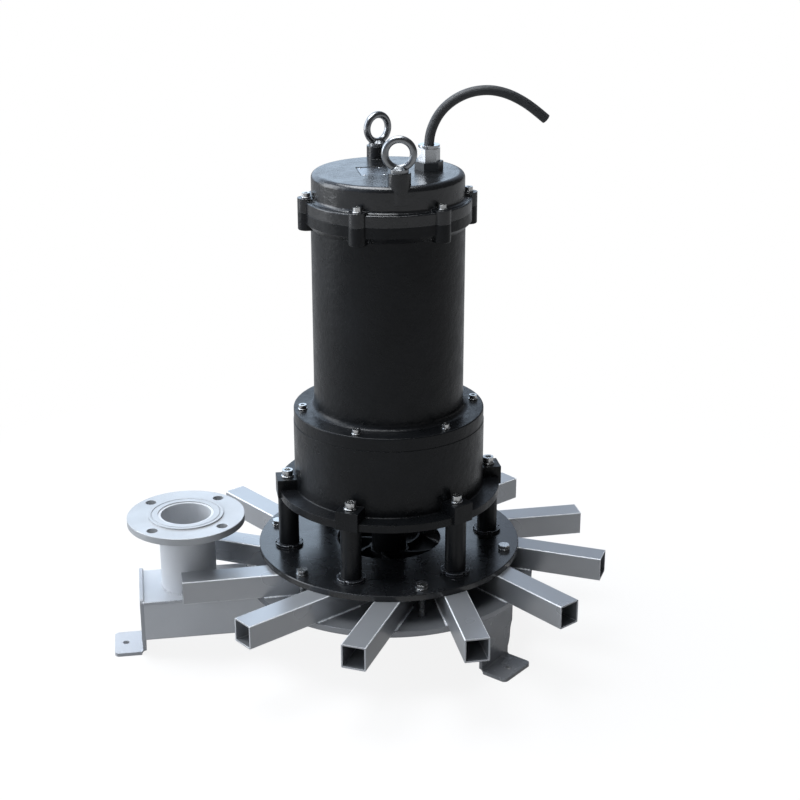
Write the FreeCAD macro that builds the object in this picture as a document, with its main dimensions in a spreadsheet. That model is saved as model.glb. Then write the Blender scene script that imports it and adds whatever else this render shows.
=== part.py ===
"""Submersible aerator: an oil-filled motor on six columns over a ring of twelve skewed outlet tubes.

Frame: the origin is on the floor under the motor axis, Z points up, the air duct lies along -X.
All sizes are in millimetres and stand in the sheet Sizes; every sub-part is bound to them.
"""
import FreeCAD
import Part
import Sketcher
import math
import os

SIZES = {
    # Levels of the stack, from the floor up
    "duct_floor_gap": 40,
    "duct_height": 70,
    "bottom_plate_thickness": 10,
    "tube_size": 40,
    "suction_plate_thickness": 10,
    "column_length": 93,
    "chamber_flange_thickness": 13,
    "chamber_height": 127,
    "motor_flange_thickness": 22,
    "housing_height": 353.5,
    "cover_flange_thickness": 18.5,
    "cover_height": 59.5,
    # Motor housing and its cover
    "barrel_radius": 123,
    "housing_bore_radius": 112,
    "motor_flange_radius": 157.3,
    "barrel_foot_fillet": 9,
    "rim_radius": 133,
    "rim_height": 17,
    "rim_chamfer": 10,
    "dome_radius": 121.5,
    "dome_edge_fillet": 9,
    "dome_foot_fillet": 5,
    "cover_wall": 12,
    "cover_roof": 10,
    "spigot_depth": 10,
    "spigot_clearance": 0.1,
    "lug_circle_radius": 130,
    "lug_radius": 14,
    "lug_rise": 3.5,
    "lug_drop": 29,
    "lug_bottom_fillet": 2,
    "lug_tap_floor": 4,
    "casting_overlap": 6,
    "screw_count": 6,
    "small_fillet": 2,
    "eye_boss_radius": 18,
    "eye_boss_circle_radius": 106,
    "eye_boss_rise": 20,
    "eye_boss_drop": 28,
    "nameplate_width": 41,
    "nameplate_length": 62,
    "nameplate_thickness": 0.8,
    "nameplate_x": -25,
    "nameplate_y": 2.5,
    "nameplate_recess_depth": 1.5,
    "nameplate_recess_margin": 1.5,
    "nameplate_corner": 3,
    # Seal rings
    "seal_ring_section": 3.8,
    "seal_groove_width": 4.6,
    "seal_groove_depth": 3.6,
    "seal_groove_drop": 3,
    # Eye bolts
    "eye_ring_radius": 21.6,
    "eye_wire_radius": 5.6,
    "eye_ring_rise": 28,
    "eye_collar_radius": 14.5,
    "eye_collar_height": 5,
    "eye_neck_radius": 8,
    "eye_thread_radius": 6,
    "eye_thread_length": 21,
    "eye_turn_front": -8,
    "eye_turn_rear": 30,
    # Cable gland and cable
    "gland_x": 66,
    "gland_y": 4,
    "gland_base_across": 40,
    "gland_base_height": 13,
    "gland_thread_radius": 12.5,
    "gland_stem_radius": 12.4,
    "gland_stem_height": 14,
    "gland_nut_across": 31,
    "gland_nut_height": 26,
    "gland_nut_roof": 5,
    "gland_rim_radius": 17,
    "gland_rim_height": 3.5,
    "gland_groove_radius": 15,
    "gland_groove_height": 1.8,
    "cable_radius": 8,
    "cable_clearance": 0.6,
    # Screws: M8 and M12 socket heads, M10 hexagon heads
    "screw_clearance": 0.5,
    "thread_gap": 0.1,
    "tap_run_out": 3,
    "cut_clearance": 2,
    "small_screw_radius": 4,
    "small_screw_head_radius": 6.5,
    "small_screw_head_height": 8,
    "small_screw_key": 6,
    "small_screw_key_depth": 4,
    "cover_screw_length": 40,
    "motor_flange_screw_length": 42,
    "motor_flange_screw_circle_radius": 143,
    "column_screw_radius": 6,
    "column_screw_head_radius": 9,
    "column_screw_head_height": 12,
    "column_screw_key": 10,
    "column_screw_key_depth": 6,
    "column_screw_length": 55,
    "plate_bolt_radius": 5,
    "plate_bolt_across": 17,
    "plate_bolt_head_height": 6.4,
    "plate_bolt_circle_radius": 200,
    "plate_bolt_start_angle": 36,
    "plate_bolt_end": 4,
    "plate_bolt_count": 6,
    "plate_nut_height": 8.4,
    "washer_radius": 10,
    "washer_thickness": 2,
    # Motor inside
    "stator_bottom": 470,
    "stator_length": 160,
    "stator_bore_radius": 72,
    "slot_count": 24,
    "slot_width": 8,
    "slot_depth": 20,
    "slot_start": 5,
    "winding_overhang": 32,
    "winding_clearance": 0.3,
    "winding_head_inner_radius": 80,
    "winding_head_outer_radius": 103,
    "air_gap": 0.6,
    "rotor_end_ring_height": 12,
    "rotor_end_ring_radius": 66,
    "rotor_seat_radius": 25,
    "shaft_shoulder_radius": 29,
    "upper_bearing_bottom": 680,
    "upper_bearing_width": 23,
    "upper_bearing_bore_radius": 20,
    "upper_bearing_outer_radius": 45,
    "lower_bearing_bottom": 395,
    "lower_bearing_width": 25,
    "lower_bearing_bore_radius": 22.5,
    "lower_bearing_outer_radius": 50,
    "bearing_ring_thickness": 6.5,
    "bearing_ball_count": 8,
    "race_depth": 1.6,
    "ball_clearance": 0.1,
    "bracket_thickness": 12,
    "bracket_hub_wall": 11,
    "bracket_lip": 3,
    "carrier_flange_thickness": 12,
    "carrier_ledge": 8,
    "carrier_hub_wall": 12,
    # Oil chamber, seals and shaft
    "chamber_radius": 158,
    "chamber_bore_radius": 126,
    "chamber_flange_radius": 185.8,
    "chamber_floor_thickness": 18,
    "pad_circle_radius": 171,
    "pad_reach": 189.5,
    "pad_width": 38,
    "pad_height": 31,
    "nose_radius": 29.5,
    "nose_length": 110,
    "nose_bore_radius": 21,
    "seal_hub_radius": 46,
    "seal_hub_height": 22,
    "seal_seat_radius": 30,
    "seal_seat_height": 10,
    "seal_head_radius": 28,
    "seal_head_height": 26,
    "seal_shaft_radius": 20,
    "seal_seat_clearance": 1,
    "seal_face_gap": 0.05,
    "oil_plug_height": 330,
    "oil_plug_radius": 8,
    "oil_plug_length": 16,
    "oil_plug_head_radius": 13,
    "oil_plug_head_height": 6,
    "oil_plug_key": 8,
    "oil_boss_radius": 17,
    "oil_boss_height": 2,
    # Columns
    "column_count": 6,
    "column_radius": 17,
    "column_spigot_radius": 12,
    "column_fit": 0.1,
    "lock_nut_radius": 23.5,
    "lock_nut_height": 5,
    "lock_nut_slot_width": 7,
    "lock_nut_slot_depth": 3,
    # Pump end
    "suction_plate_radius": 221,
    "suction_hole_radius": 88,
    "plate_edge_chamfer": 1,
    "bottom_plate_radius": 245.7,
    "air_hole_radius": 40,
    "mixing_ring_radius": 118,
    "mixing_ring_wall": 5,
    "tube_count": 12,
    "tube_turn": 1.3,
    "tube_wall": 2.5,
    "tube_offset": 70,
    "tube_reach": 357.7,
    "tube_corner": 2,
    "tube_blank_setback": 10,
    "impeller_radius": 84,
    "impeller_hub_radius": 34.5,
    "impeller_hub_height": 22,
    "impeller_hub_bore": 14,
    "impeller_disc_thickness": 5,
    "impeller_disc_drop": 13,
    "impeller_blade_rise": 12,
    "impeller_blade_drop": 13,
    "impeller_blade_count": 6,
    "impeller_blade_thickness": 5,
    "impeller_blade_sweep": 42,
    "impeller_blade_curve": 60,
    "impeller_blade_root_depth": 3,
    "impeller_blade_tip_setback": 0.5,
    "hub_gap": 2,
    "impeller_nut_across": 30,
    "impeller_nut_height": 13,
    "impeller_thread_radius": 12,
    "shaft_end": 3,
    # Air side
    "duct_width": 126,
    "duct_wall": 4,
    "duct_reach": 420,
    "duct_tail": 62,
    "duct_corner": 5,
    "inlet_x": -342,
    "inlet_pipe_radius": 46.2,
    "inlet_pipe_wall": 4.5,
    "inlet_flange_radius": 97.5,
    "inlet_flange_thickness": 12,
    "inlet_flange_top": 237.5,
    "raised_face_radius": 62.5,
    "raised_face_height": 2.5,
    "face_groove_depth": 0.8,
    "face_groove_width": 1.6,
    "face_groove_radius": 56,
    "inlet_bolt_circle_radius": 80,
    "inlet_bolt_hole_radius": 9,
    "inlet_bolt_count": 4,
    "inlet_bolt_start_angle": 45,
    "inlet_pipe_setback": 1.5,
    # Feet
    "foot_plate_thickness": 6,
    "foot_bend_radius": 2,
    "foot_width": 74,
    "foot_length": 47,
    "foot_hole_radius": 5.5,
    "foot_hole_distance": 28,
    "foot_corner": 8,
    "duct_foot_height": 116,
    "plate_foot_radius": 226,
    "duct_foot_flare_height": 26,
    "plate_foot_angle": 48,
    "plate_foot_top_width": 96,
    "plate_foot_flare_height": 45,
}

# The cable's route in the plane y = gland_y: x and z of each point above the gland
CABLE_ROUTE = [
    (0, 0), (0, 13), (5, 33), (17, 55), (37, 73), (64, 85), (94, 88), (122, 82), (147, 70), (169, 55),
    (188, 39),
]
# Share of the shorter run at a corner of the route that the corner's bend takes
CABLE_BEND_SHARE = 0.45
# What two equal lengths may differ by, in mm, and the least volume of a cut, in mm3
SLACK = 0.02
LEAST_CUT = 0.01

doc = FreeCAD.newDocument("SubmersibleAerator")
sheet = doc.addObject("Spreadsheet::Sheet", "Sizes")
for row, (alias, number) in enumerate(SIZES.items(), start=1):
    sheet.set(f"A{row}", alias)
    sheet.set(f"B{row}", str(number))
    sheet.setAlias(f"B{row}", alias)
doc.recompute()


class Length:
    """A size or a sum of sizes: its number now, and the expression that binds it to the sheet."""

    def __init__(self, number, text):
        self.number = float(number)
        self.text = text

    def __add__(self, other):
        other = as_length(other)
        return Length(self.number + other.number, f"({self.text} + {other.text})")

    def __sub__(self, other):
        other = as_length(other)
        return Length(self.number - other.number, f"({self.text} - {other.text})")

    def __mul__(self, other):
        other = as_length(other)
        return Length(self.number * other.number, f"({self.text} * {other.text})")

    def __truediv__(self, other):
        other = as_length(other)
        return Length(self.number / other.number, f"({self.text} / {other.text})")

    def __neg__(self):
        return Length(-self.number, f"(0 - {self.text})")

    __radd__ = __add__
    __rmul__ = __mul__


def as_length(value):
    if isinstance(value, Length):
        return value
    return Length(value, repr(float(value)))


def size(alias):
    return Length(sheet.get(alias), f"Sizes.{alias}")


DEGREE = Length(1, "1 deg")


def square_root(length):
    return Length(math.sqrt(length.number), f"sqrt({length.text})")


def cosine(angle):
    angle = as_length(angle)
    return Length(math.cos(math.radians(angle.number)), f"cos({angle.text} * {DEGREE.text})")


def sine(angle):
    angle = as_length(angle)
    return Length(math.sin(math.radians(angle.number)), f"sin({angle.text} * {DEGREE.text})")


def bind(target, path, length):
    target.setExpression(path, as_length(length).text)


# Levels that several sub-parts share
duct_top = size("duct_floor_gap") + size("duct_height")
bottom_plate_top = duct_top + size("bottom_plate_thickness")
tube_top = bottom_plate_top + size("tube_size")
suction_plate_top = tube_top + size("suction_plate_thickness")
chamber_bottom = suction_plate_top + size("column_length")
chamber_flange_top = chamber_bottom + size("chamber_flange_thickness")
pad_top = chamber_bottom + size("pad_height")
chamber_top = chamber_bottom + size("chamber_height")
motor_flange_top = chamber_top + size("motor_flange_thickness")
cover_joint = chamber_top + size("housing_height")
cover_flange_top = cover_joint + size("cover_flange_thickness")
lug_top = cover_flange_top + size("lug_rise")
cover_top = cover_joint + size("cover_height")
eye_boss_top = cover_top + size("eye_boss_rise")
gland_nut_bottom = cover_top + size("gland_base_height")
gland_nut_top = gland_nut_bottom + size("gland_nut_height")
nose_bottom = chamber_bottom - size("nose_length")
impeller_hub_top = nose_bottom - size("hub_gap")
impeller_hub_bottom = impeller_hub_top - size("impeller_hub_height")
carrier_bottom = chamber_top - size("carrier_flange_thickness")
upper_bearing_top = size("upper_bearing_bottom") + size("upper_bearing_width")
lower_bearing_top = size("lower_bearing_bottom") + size("lower_bearing_width")
stator_top = size("stator_bottom") + size("stator_length")
spigot_radius = size("housing_bore_radius") - size("spigot_clearance")


def origin_feature(body, role):
    for feature in body.Origin.OriginFeatures:
        if feature.Role == role:
            return feature
    raise ValueError(role)


def new_body(name):
    body = doc.addObject("PartDesign::Body", name)
    body.Label = name
    body.AllowCompound = True
    return body


def new_sketch(body, plane="XY_Plane", offset=None):
    """A sketch on one of the body's origin planes, lifted off it by a bound offset."""
    sketch = body.newObject("Sketcher::SketchObject", f"{body.Name}_sketch")
    sketch.AttachmentSupport = (origin_feature(body, plane), [""])
    sketch.MapMode = "FlatFace"
    if offset is not None:
        bind(sketch, ".AttachmentOffset.Base.z", offset)
    return sketch


def dimension(sketch, kind, arguments, length):
    """One dimension of a sketch, bound to the sheet; lengths of zero stay on their axis."""
    index = sketch.addConstraint(Sketcher.Constraint(kind, *arguments, as_length(length).number))
    name = f"d{index}"
    sketch.renameConstraint(index, name)
    if isinstance(length, Length):
        bind(sketch, f"Constraints.{name}", length)


def place_point(sketch, geometry, end, x, y):
    dimension(sketch, "DistanceX", (-1, 1, geometry, end), x)
    dimension(sketch, "DistanceY", (-1, 1, geometry, end), y)


def draw_outline(sketch, corners, arcs=None):
    """A closed outline through corners; arcs maps an edge's number to its radius and turning side.

    Side 1 bulges to the right of the way round, and side -1 to the left. A half circle's
    ends stand one above the other.
    """
    arcs = arcs or {}
    corners = [(as_length(x), as_length(y)) for x, y in corners]
    count = len(corners)
    first = None
    edges = []
    for number in range(count):
        (ax, ay), (bx, by) = corners[number], corners[(number + 1) % count]
        start = FreeCAD.Vector(ax.number, ay.number, 0)
        end = FreeCAD.Vector(bx.number, by.number, 0)
        if number in arcs:
            radius, side = arcs[number]
            radius = as_length(radius)
            chord = end - start
            middle = (start + end) * 0.5
            normal = FreeCAD.Vector(-chord.y, chord.x, 0)
            normal.normalize()
            rise = math.sqrt(max(radius.number ** 2 - (chord.Length / 2) ** 2, 0.0))
            centre = middle + normal * (rise * side)
            tip = centre - normal * (radius.number * side)
            curve = Part.Arc(start, tip, end)
            index = sketch.addGeometry(curve, False)
            forward = (sketch.getPoint(index, 1) - start).Length < (sketch.getPoint(index, 1) - end).Length
            edges.append((index, 1 if forward else 2, 2 if forward else 1))
            if radius.number * 2 - chord.Length > SLACK:
                dimension(sketch, "Radius", (index,), radius)
            else:
                dimension(sketch, "DistanceX", (-1, 1, index, 3), ax)
        else:
            index = sketch.addGeometry(Part.LineSegment(start, end), False)
            edges.append((index, 1, 2))
        first = index if first is None else first
    for number in range(count):
        index, begin, _ = edges[number]
        previous, _, finish = edges[number - 1]
        sketch.addConstraint(Sketcher.Constraint("Coincident", previous, finish, index, begin))
        place_point(sketch, index, begin, *corners[number])


def draw_circle(sketch, x, y, radius):
    x, y, radius = as_length(x), as_length(y), as_length(radius)
    circle = Part.Circle(FreeCAD.Vector(x.number, y.number, 0), FreeCAD.Vector(0, 0, 1), radius.number)
    index = sketch.addGeometry(circle, False)
    dimension(sketch, "Radius", (index,), radius)
    place_point(sketch, index, 3, x, y)


def draw_rectangle(sketch, x, y, width, length):
    x, y, width, length = (as_length(value) for value in (x, y, width, length))
    left, right = x - width / 2, x + width / 2
    low, high = y - length / 2, y + length / 2
    draw_outline(sketch, [(left, low), (right, low), (right, high), (left, high)])


def draw_hexagon(sketch, x, y, across):
    """A regular hexagon given by its width across flats."""
    x, y, across = as_length(x), as_length(y), as_length(across)
    reach = across / square_root(as_length(3))
    corners = []
    for step in range(6):
        corners.append((x + reach * cosine(60 * step), y + reach * sine(60 * step)))
    draw_outline(sketch, corners)


def revolve(body, corners, arcs=None, axis_x=None, plane="XZ_Plane"):
    """A full turn of an outline about the body's own Z axis, or about a line beside it."""
    sketch = new_sketch(body, plane)
    draw_outline(sketch, corners, arcs)
    feature = body.newObject("PartDesign::Revolution", f"{body.Name}_turned")
    feature.Profile = sketch
    if axis_x is None:
        feature.ReferenceAxis = (sketch, ["V_Axis"])
    else:
        line = Part.LineSegment(FreeCAD.Vector(axis_x.number, 0, 0), FreeCAD.Vector(axis_x.number, 10, 0))
        index = sketch.addGeometry(line, True)
        place_point(sketch, index, 1, axis_x, 0)
        place_point(sketch, index, 2, axis_x, 10)
        feature.ReferenceAxis = (sketch, ["Axis0"])
    feature.Angle = 360
    body.Tip = feature
    return feature


def pad(body, sketch, length, both_ways=False):
    feature = body.newObject("PartDesign::Pad", f"{body.Name}_pad")
    feature.Profile = sketch
    bind(feature, "Length", length)
    if both_ways:
        feature.Midplane = True
    body.Tip = feature
    return feature


def pocket(body, sketch, depth, upward=False):
    """Cuts down from the sketch, or up from it; stops if it takes no material away."""
    doc.recompute()
    before = body.Shape.Volume
    feature = body.newObject("PartDesign::Pocket", f"{body.Name}_pocket")
    feature.Profile = sketch
    bind(feature, "Length", depth)
    feature.Reversed = upward
    body.Tip = feature
    doc.recompute()
    if body.Shape.Volume > before - LEAST_CUT:
        raise ValueError(f"{body.Label}: a pocket cuts nothing")
    return feature


def pattern(body, features, count):
    feature = body.newObject("PartDesign::PolarPattern", f"{body.Name}_pattern")
    feature.Originals = features
    feature.Axis = (origin_feature(body, "Z_Axis"), [""])
    feature.Angle = 360
    bind(feature, "Occurrences", count)
    body.Tip = feature
    return feature


def round_edges(body, radius, wanted, chamfer=False):
    """Fillets or chamfers the edges of the body that the function wanted picks out."""
    doc.recompute()
    base = body.Tip
    names = []
    for number, edge in enumerate(base.Shape.Edges, start=1):
        if wanted(edge):
            names.append(f"Edge{number}")
    if not names:
        raise ValueError(f"{body.Label}: no edge to round")
    kind = "PartDesign::Chamfer" if chamfer else "PartDesign::Fillet"
    feature = body.newObject(kind, f"{body.Name}_edge")
    feature.Base = (base, names)
    bind(feature, "Size" if chamfer else "Radius", radius)
    body.Tip = feature
    return feature


def near(value, length):
    return abs(value - as_length(length).number) < SLACK


def is_circle_at(edge, radius, height):
    """Whether an edge is a circle of that radius round the Z axis at that height."""
    curve = edge.Curve
    if not isinstance(curve, Part.Circle):
        return False
    centre = curve.Center
    on_axis = near(math.hypot(centre.x, centre.y), 0)
    return on_axis and near(curve.Radius, radius) and near(centre.z, height)


def place(body, x=0, y=0, z=0, turn=None):
    """Puts a body in the frame: a bound position, and a bound turn about Z."""
    if turn is not None:
        turn = as_length(turn)
        rotation = FreeCAD.Rotation(FreeCAD.Vector(0, 0, 1), turn.number)
        body.Placement = FreeCAD.Placement(FreeCAD.Vector(0, 0, 0), rotation)
        bind(body, ".Placement.Rotation.Angle", turn * DEGREE)
    for axis, value in (("x", x), ("y", y), ("z", z)):
        if isinstance(value, Length):
            bind(body, f".Placement.Base.{axis}", value)
    return body


def socket_screws(name, count, circle, radius, length, head_radius, head_height, key, key_depth):
    """Socket-head screws on a circle; the seat of the heads is at the body's own height zero."""
    body = new_body(name)
    screw = revolve(body, [
        (circle, -length), (circle + radius, -length), (circle + radius, 0), (circle + head_radius, 0),
        (circle + head_radius, head_height), (circle, head_height),
    ], axis_x=circle)
    recess = new_sketch(body, offset=head_height)
    draw_hexagon(recess, circle, 0, key)
    socket = pocket(body, recess, key_depth)
    pattern(body, [screw, socket], count)
    return body


def holes_on_circle(body, circle, radius, top, depth, count, angle=None):
    """Round holes on a circle, sunk from the level top; angle shifts them from the X axis."""
    sketch = new_sketch(body, offset=top)
    if angle is None:
        draw_circle(sketch, circle, 0, radius)
    else:
        draw_circle(sketch, circle * cosine(angle), circle * sine(angle), radius)
    hole = pocket(body, sketch, depth)
    return pattern(body, [hole], count)


def motor_top_cover():
    """Cast dome with a spigot, six screw lugs, two eye-bolt bosses and a plate recess."""
    body = new_body("motor_top_cover")
    cavity = size("dome_radius") - size("cover_wall")
    rim, dome = size("rim_radius"), size("dome_radius")
    spigot_foot = cover_joint - size("spigot_depth")
    groove_top = cover_joint - size("seal_groove_drop")
    groove_foot = groove_top - size("seal_groove_width")
    groove_radius = spigot_radius - size("seal_groove_depth")
    ceiling = cover_top - size("cover_roof")
    inner = cavity - size("cover_wall") / 2
    revolve(body, [
        (inner, spigot_foot), (spigot_radius, spigot_foot), (spigot_radius, groove_foot),
        (groove_radius, groove_foot), (groove_radius, groove_top), (spigot_radius, groove_top),
        (spigot_radius, cover_joint), (rim, cover_joint), (rim, cover_flange_top),
        (dome, cover_flange_top), (dome, cover_top), (0, cover_top), (0, ceiling), (inner, ceiling),
    ])
    round_edges(body, size("dome_edge_fillet"), lambda edge: is_circle_at(edge, dome, cover_top))
    round_edges(body, size("dome_foot_fillet"), lambda edge: is_circle_at(edge, dome, cover_flange_top))
    round_edges(body, size("small_fillet"), lambda edge: is_circle_at(edge, rim, cover_flange_top))

    lug = new_sketch(body, offset=cover_joint)
    start = rim - size("lug_radius")
    reach = size("lug_circle_radius")
    half = size("lug_radius")
    draw_outline(lug, [(start, -half), (reach, -half), (reach, half), (start, half)], {1: (half, 1)})
    lug_pad = pad(body, lug, lug_top - cover_joint)
    pattern(body, [lug_pad], size("screw_count"))
    holes_on_circle(body, reach, size("small_screw_radius") + size("screw_clearance"), lug_top,
                    lug_top - cover_joint, size("screw_count"))

    boss = new_sketch(body, offset=eye_boss_top - size("eye_boss_rise") - size("eye_boss_drop"))
    draw_circle(boss, 0, size("eye_boss_circle_radius"), size("eye_boss_radius"))
    draw_circle(boss, 0, -size("eye_boss_circle_radius"), size("eye_boss_radius"))
    pad(body, boss, size("eye_boss_rise") + size("eye_boss_drop"))
    threads = new_sketch(body, offset=eye_boss_top)
    thread = size("eye_thread_radius") + size("thread_gap")
    draw_circle(threads, 0, size("eye_boss_circle_radius"), thread)
    draw_circle(threads, 0, -size("eye_boss_circle_radius"), thread)
    pocket(body, threads, size("eye_thread_length") + size("tap_run_out"))

    recess = new_sketch(body, offset=cover_top)
    margin = size("nameplate_recess_margin") * 2
    draw_rectangle(recess, size("nameplate_x"), size("nameplate_y"),
                   size("nameplate_width") + margin, size("nameplate_length") + margin)
    pocket(body, recess, size("nameplate_recess_depth"))
    entry = new_sketch(body, offset=cover_top)
    draw_circle(entry, size("gland_x"), size("gland_y"), size("gland_thread_radius"))
    pocket(body, entry, size("cover_roof") + size("cut_clearance"))
    return body


def seal_ring(name, groove_radius, height):
    """An O-ring in its groove."""
    ring = doc.addObject("Part::Torus", name)
    ring.Label = name
    bind(ring, "Radius1", groove_radius + size("seal_ring_section") / 2)
    bind(ring, "Radius2", size("seal_ring_section") / 2 - size("spigot_clearance"))
    bind(ring, ".Placement.Base.z", height)
    return ring


def nameplate():
    """A bare plate with rounded corners in the cover's recess."""
    body = new_body("nameplate")
    sketch = new_sketch(body)
    draw_rectangle(sketch, 0, 0, size("nameplate_width"), size("nameplate_length"))
    pad(body, sketch, size("nameplate_thickness"))
    round_edges(body, size("nameplate_corner"), lambda edge: edge.BoundBox.ZLength > SLACK)
    return place(body, size("nameplate_x"), size("nameplate_y"), cover_top - size("nameplate_recess_depth"))


def eye_bolt(name, y, turn):
    """A forged lifting eye with collar and threaded shank."""
    body = new_body(name)
    collar, neck = size("eye_collar_radius"), size("eye_neck_radius")
    thread = size("eye_thread_radius")
    seat = size("eye_collar_height")
    ring_foot = size("eye_ring_rise") - size("eye_ring_radius") + size("eye_wire_radius") / 2
    revolve(body, [
        (0, -size("eye_thread_length")), (thread, -size("eye_thread_length")), (thread, 0), (collar, 0),
        (collar, seat), (neck, ring_foot), (0, ring_foot),
    ])
    ring = new_sketch(body, offset=size("eye_ring_rise"))
    draw_circle(ring, size("eye_ring_radius"), 0, size("eye_wire_radius"))
    loop = body.newObject("PartDesign::Revolution", f"{name}_ring")
    loop.Profile = ring
    loop.ReferenceAxis = (ring, ["V_Axis"])
    loop.Angle = 360
    body.Tip = loop
    return place(body, y=y, z=eye_boss_top, turn=turn)


def cable_gland():
    """Hexagon base, clamping nut and rubber bush where the cable goes in."""
    base = new_body("gland_body")
    hexagon = new_sketch(base)
    draw_hexagon(hexagon, 0, 0, size("gland_base_across"))
    pad(base, hexagon, size("gland_base_height"))
    stem = new_sketch(base, offset=-size("cover_roof"))
    draw_circle(stem, 0, 0, size("gland_stem_radius"))
    pad(base, stem, size("cover_roof") + size("gland_base_height") + size("gland_stem_height"))
    bore = size("cable_radius") + size("cable_clearance")
    way = new_sketch(base, offset=size("gland_base_height") + size("gland_stem_height"))
    draw_circle(way, 0, 0, bore)
    pocket(base, way, size("cover_roof") + size("gland_base_height") + size("gland_stem_height"))
    place(base, size("gland_x"), size("gland_y"), cover_top)

    nut = new_body("gland_nut")
    hexagon = new_sketch(nut)
    draw_hexagon(hexagon, 0, 0, size("gland_nut_across"))
    hexagon_height = size("gland_nut_height") - size("gland_rim_height") - size("gland_groove_height")
    pad(nut, hexagon, hexagon_height)
    neck = new_sketch(nut, offset=hexagon_height)
    draw_circle(neck, 0, 0, size("gland_groove_radius"))
    pad(nut, neck, size("gland_groove_height"))
    rim = new_sketch(nut, offset=size("gland_nut_height") - size("gland_rim_height"))
    draw_circle(rim, 0, 0, size("gland_rim_radius"))
    pad(nut, rim, size("gland_rim_height"))
    inside = new_sketch(nut)
    draw_circle(inside, 0, 0, size("gland_stem_radius") + size("thread_gap"))
    pocket(nut, inside, size("gland_nut_height") - size("gland_nut_roof"), upward=True)
    mouth = new_sketch(nut, offset=size("gland_nut_height"))
    draw_circle(mouth, 0, 0, bore)
    pocket(nut, mouth, size("gland_nut_height"))
    place(nut, size("gland_x"), size("gland_y"), gland_nut_bottom)

    bush = new_body("gland_seal")
    section = new_sketch(bush)
    draw_circle(section, 0, 0, size("gland_stem_radius"))
    room = size("gland_nut_height") - size("gland_nut_roof") - size("gland_stem_height")
    pad(bush, section, room)
    place(bush, size("gland_x"), size("gland_y"), gland_nut_bottom + size("gland_stem_height"))
    return [base, nut, bush]


def power_cable():
    """Round cable from the rubber bush: straight runs joined by tangent arcs, cut square at its end."""
    x, y = size("gland_x").number, size("gland_y").number
    exit_level = gland_nut_top - size("gland_nut_roof")
    points = [FreeCAD.Vector(x + across, y, exit_level.number + rise) for across, rise in CABLE_ROUTE]
    edges = []
    radii = []
    start = points[0]
    for before, corner, after in zip(points, points[1:], points[2:]):
        arriving, leaving = corner - before, after - corner
        run = min(arriving.Length, leaving.Length)
        turn = arriving.getAngle(leaving)
        setback = CABLE_BEND_SHARE * run
        radii.append(setback / math.tan(turn / 2))
        arriving.normalize()
        leaving.normalize()
        first, last = corner - arriving * setback, corner + leaving * setback
        inward = (leaving - arriving).normalize()
        centre = corner + inward * math.hypot(setback, radii[-1])
        middle = centre - inward * radii[-1]
        edges.append(Part.LineSegment(start, first).toShape())
        edges.append(Part.Arc(first, middle, last).toShape())
        start = last
    edges.append(Part.LineSegment(start, points[-1]).toShape())
    path = Part.Wire(edges)
    radius = size("cable_radius").number
    section = Part.Wire([Part.Circle(points[0], points[1] - points[0], radius).toShape()])
    tube = path.makePipeShell([section], True, False)
    expected = math.pi * radius ** 2 * path.Length
    print("cable length", round(path.Length, 2), "radii", [round(value, 1) for value in radii])
    print("cable volume over section times length", round(tube.Volume / expected, 5))
    cable = doc.addObject("Part::Feature", "power_cable")
    cable.Label = "power_cable"
    cable.Shape = tube
    return cable


def motor_housing():
    """Cast barrel with a bolted flange at its foot and a rim with six screw lugs at its top."""
    body = new_body("motor_housing")
    bore, barrel = size("housing_bore_radius"), size("barrel_radius")
    flange, rim = size("motor_flange_radius"), size("rim_radius")
    rim_foot = cover_joint - size("rim_height")
    taper = size("rim_chamfer")
    revolve(body, [
        (bore, chamber_top), (flange, chamber_top), (flange, motor_flange_top), (barrel, motor_flange_top),
        (barrel, rim_foot - taper), (rim, rim_foot), (rim, cover_joint), (bore, cover_joint),
    ])
    round_edges(body, size("barrel_foot_fillet"), lambda edge: is_circle_at(edge, barrel, motor_flange_top))
    round_edges(body, size("small_fillet"), lambda edge: is_circle_at(edge, flange, motor_flange_top))

    lug_foot = lug_top - size("lug_rise") - size("cover_flange_thickness") - size("lug_drop")
    lug = new_sketch(body, offset=lug_foot)
    half, reach = size("lug_radius"), size("lug_circle_radius")
    start = barrel - size("casting_overlap")
    draw_outline(lug, [(start, -half), (reach, -half), (reach, half), (start, half)], {1: (half, 1)})
    lug_pad = pad(body, lug, size("lug_drop"))
    pattern(body, [lug_pad], size("screw_count"))
    round_edges(body, size("lug_bottom_fillet"), lambda edge: (
        isinstance(edge.Curve, Part.Circle) and near(edge.Curve.Radius, half)
        and near(edge.Curve.Center.z, lug_foot)))
    holes_on_circle(body, reach, size("small_screw_radius") + size("thread_gap"), cover_joint,
                    size("lug_drop") - size("lug_tap_floor"), size("screw_count"))
    holes_on_circle(body, size("motor_flange_screw_circle_radius"),
                    size("small_screw_radius") + size("screw_clearance"), motor_flange_top,
                    size("motor_flange_thickness"), size("screw_count"))
    return body


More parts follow.
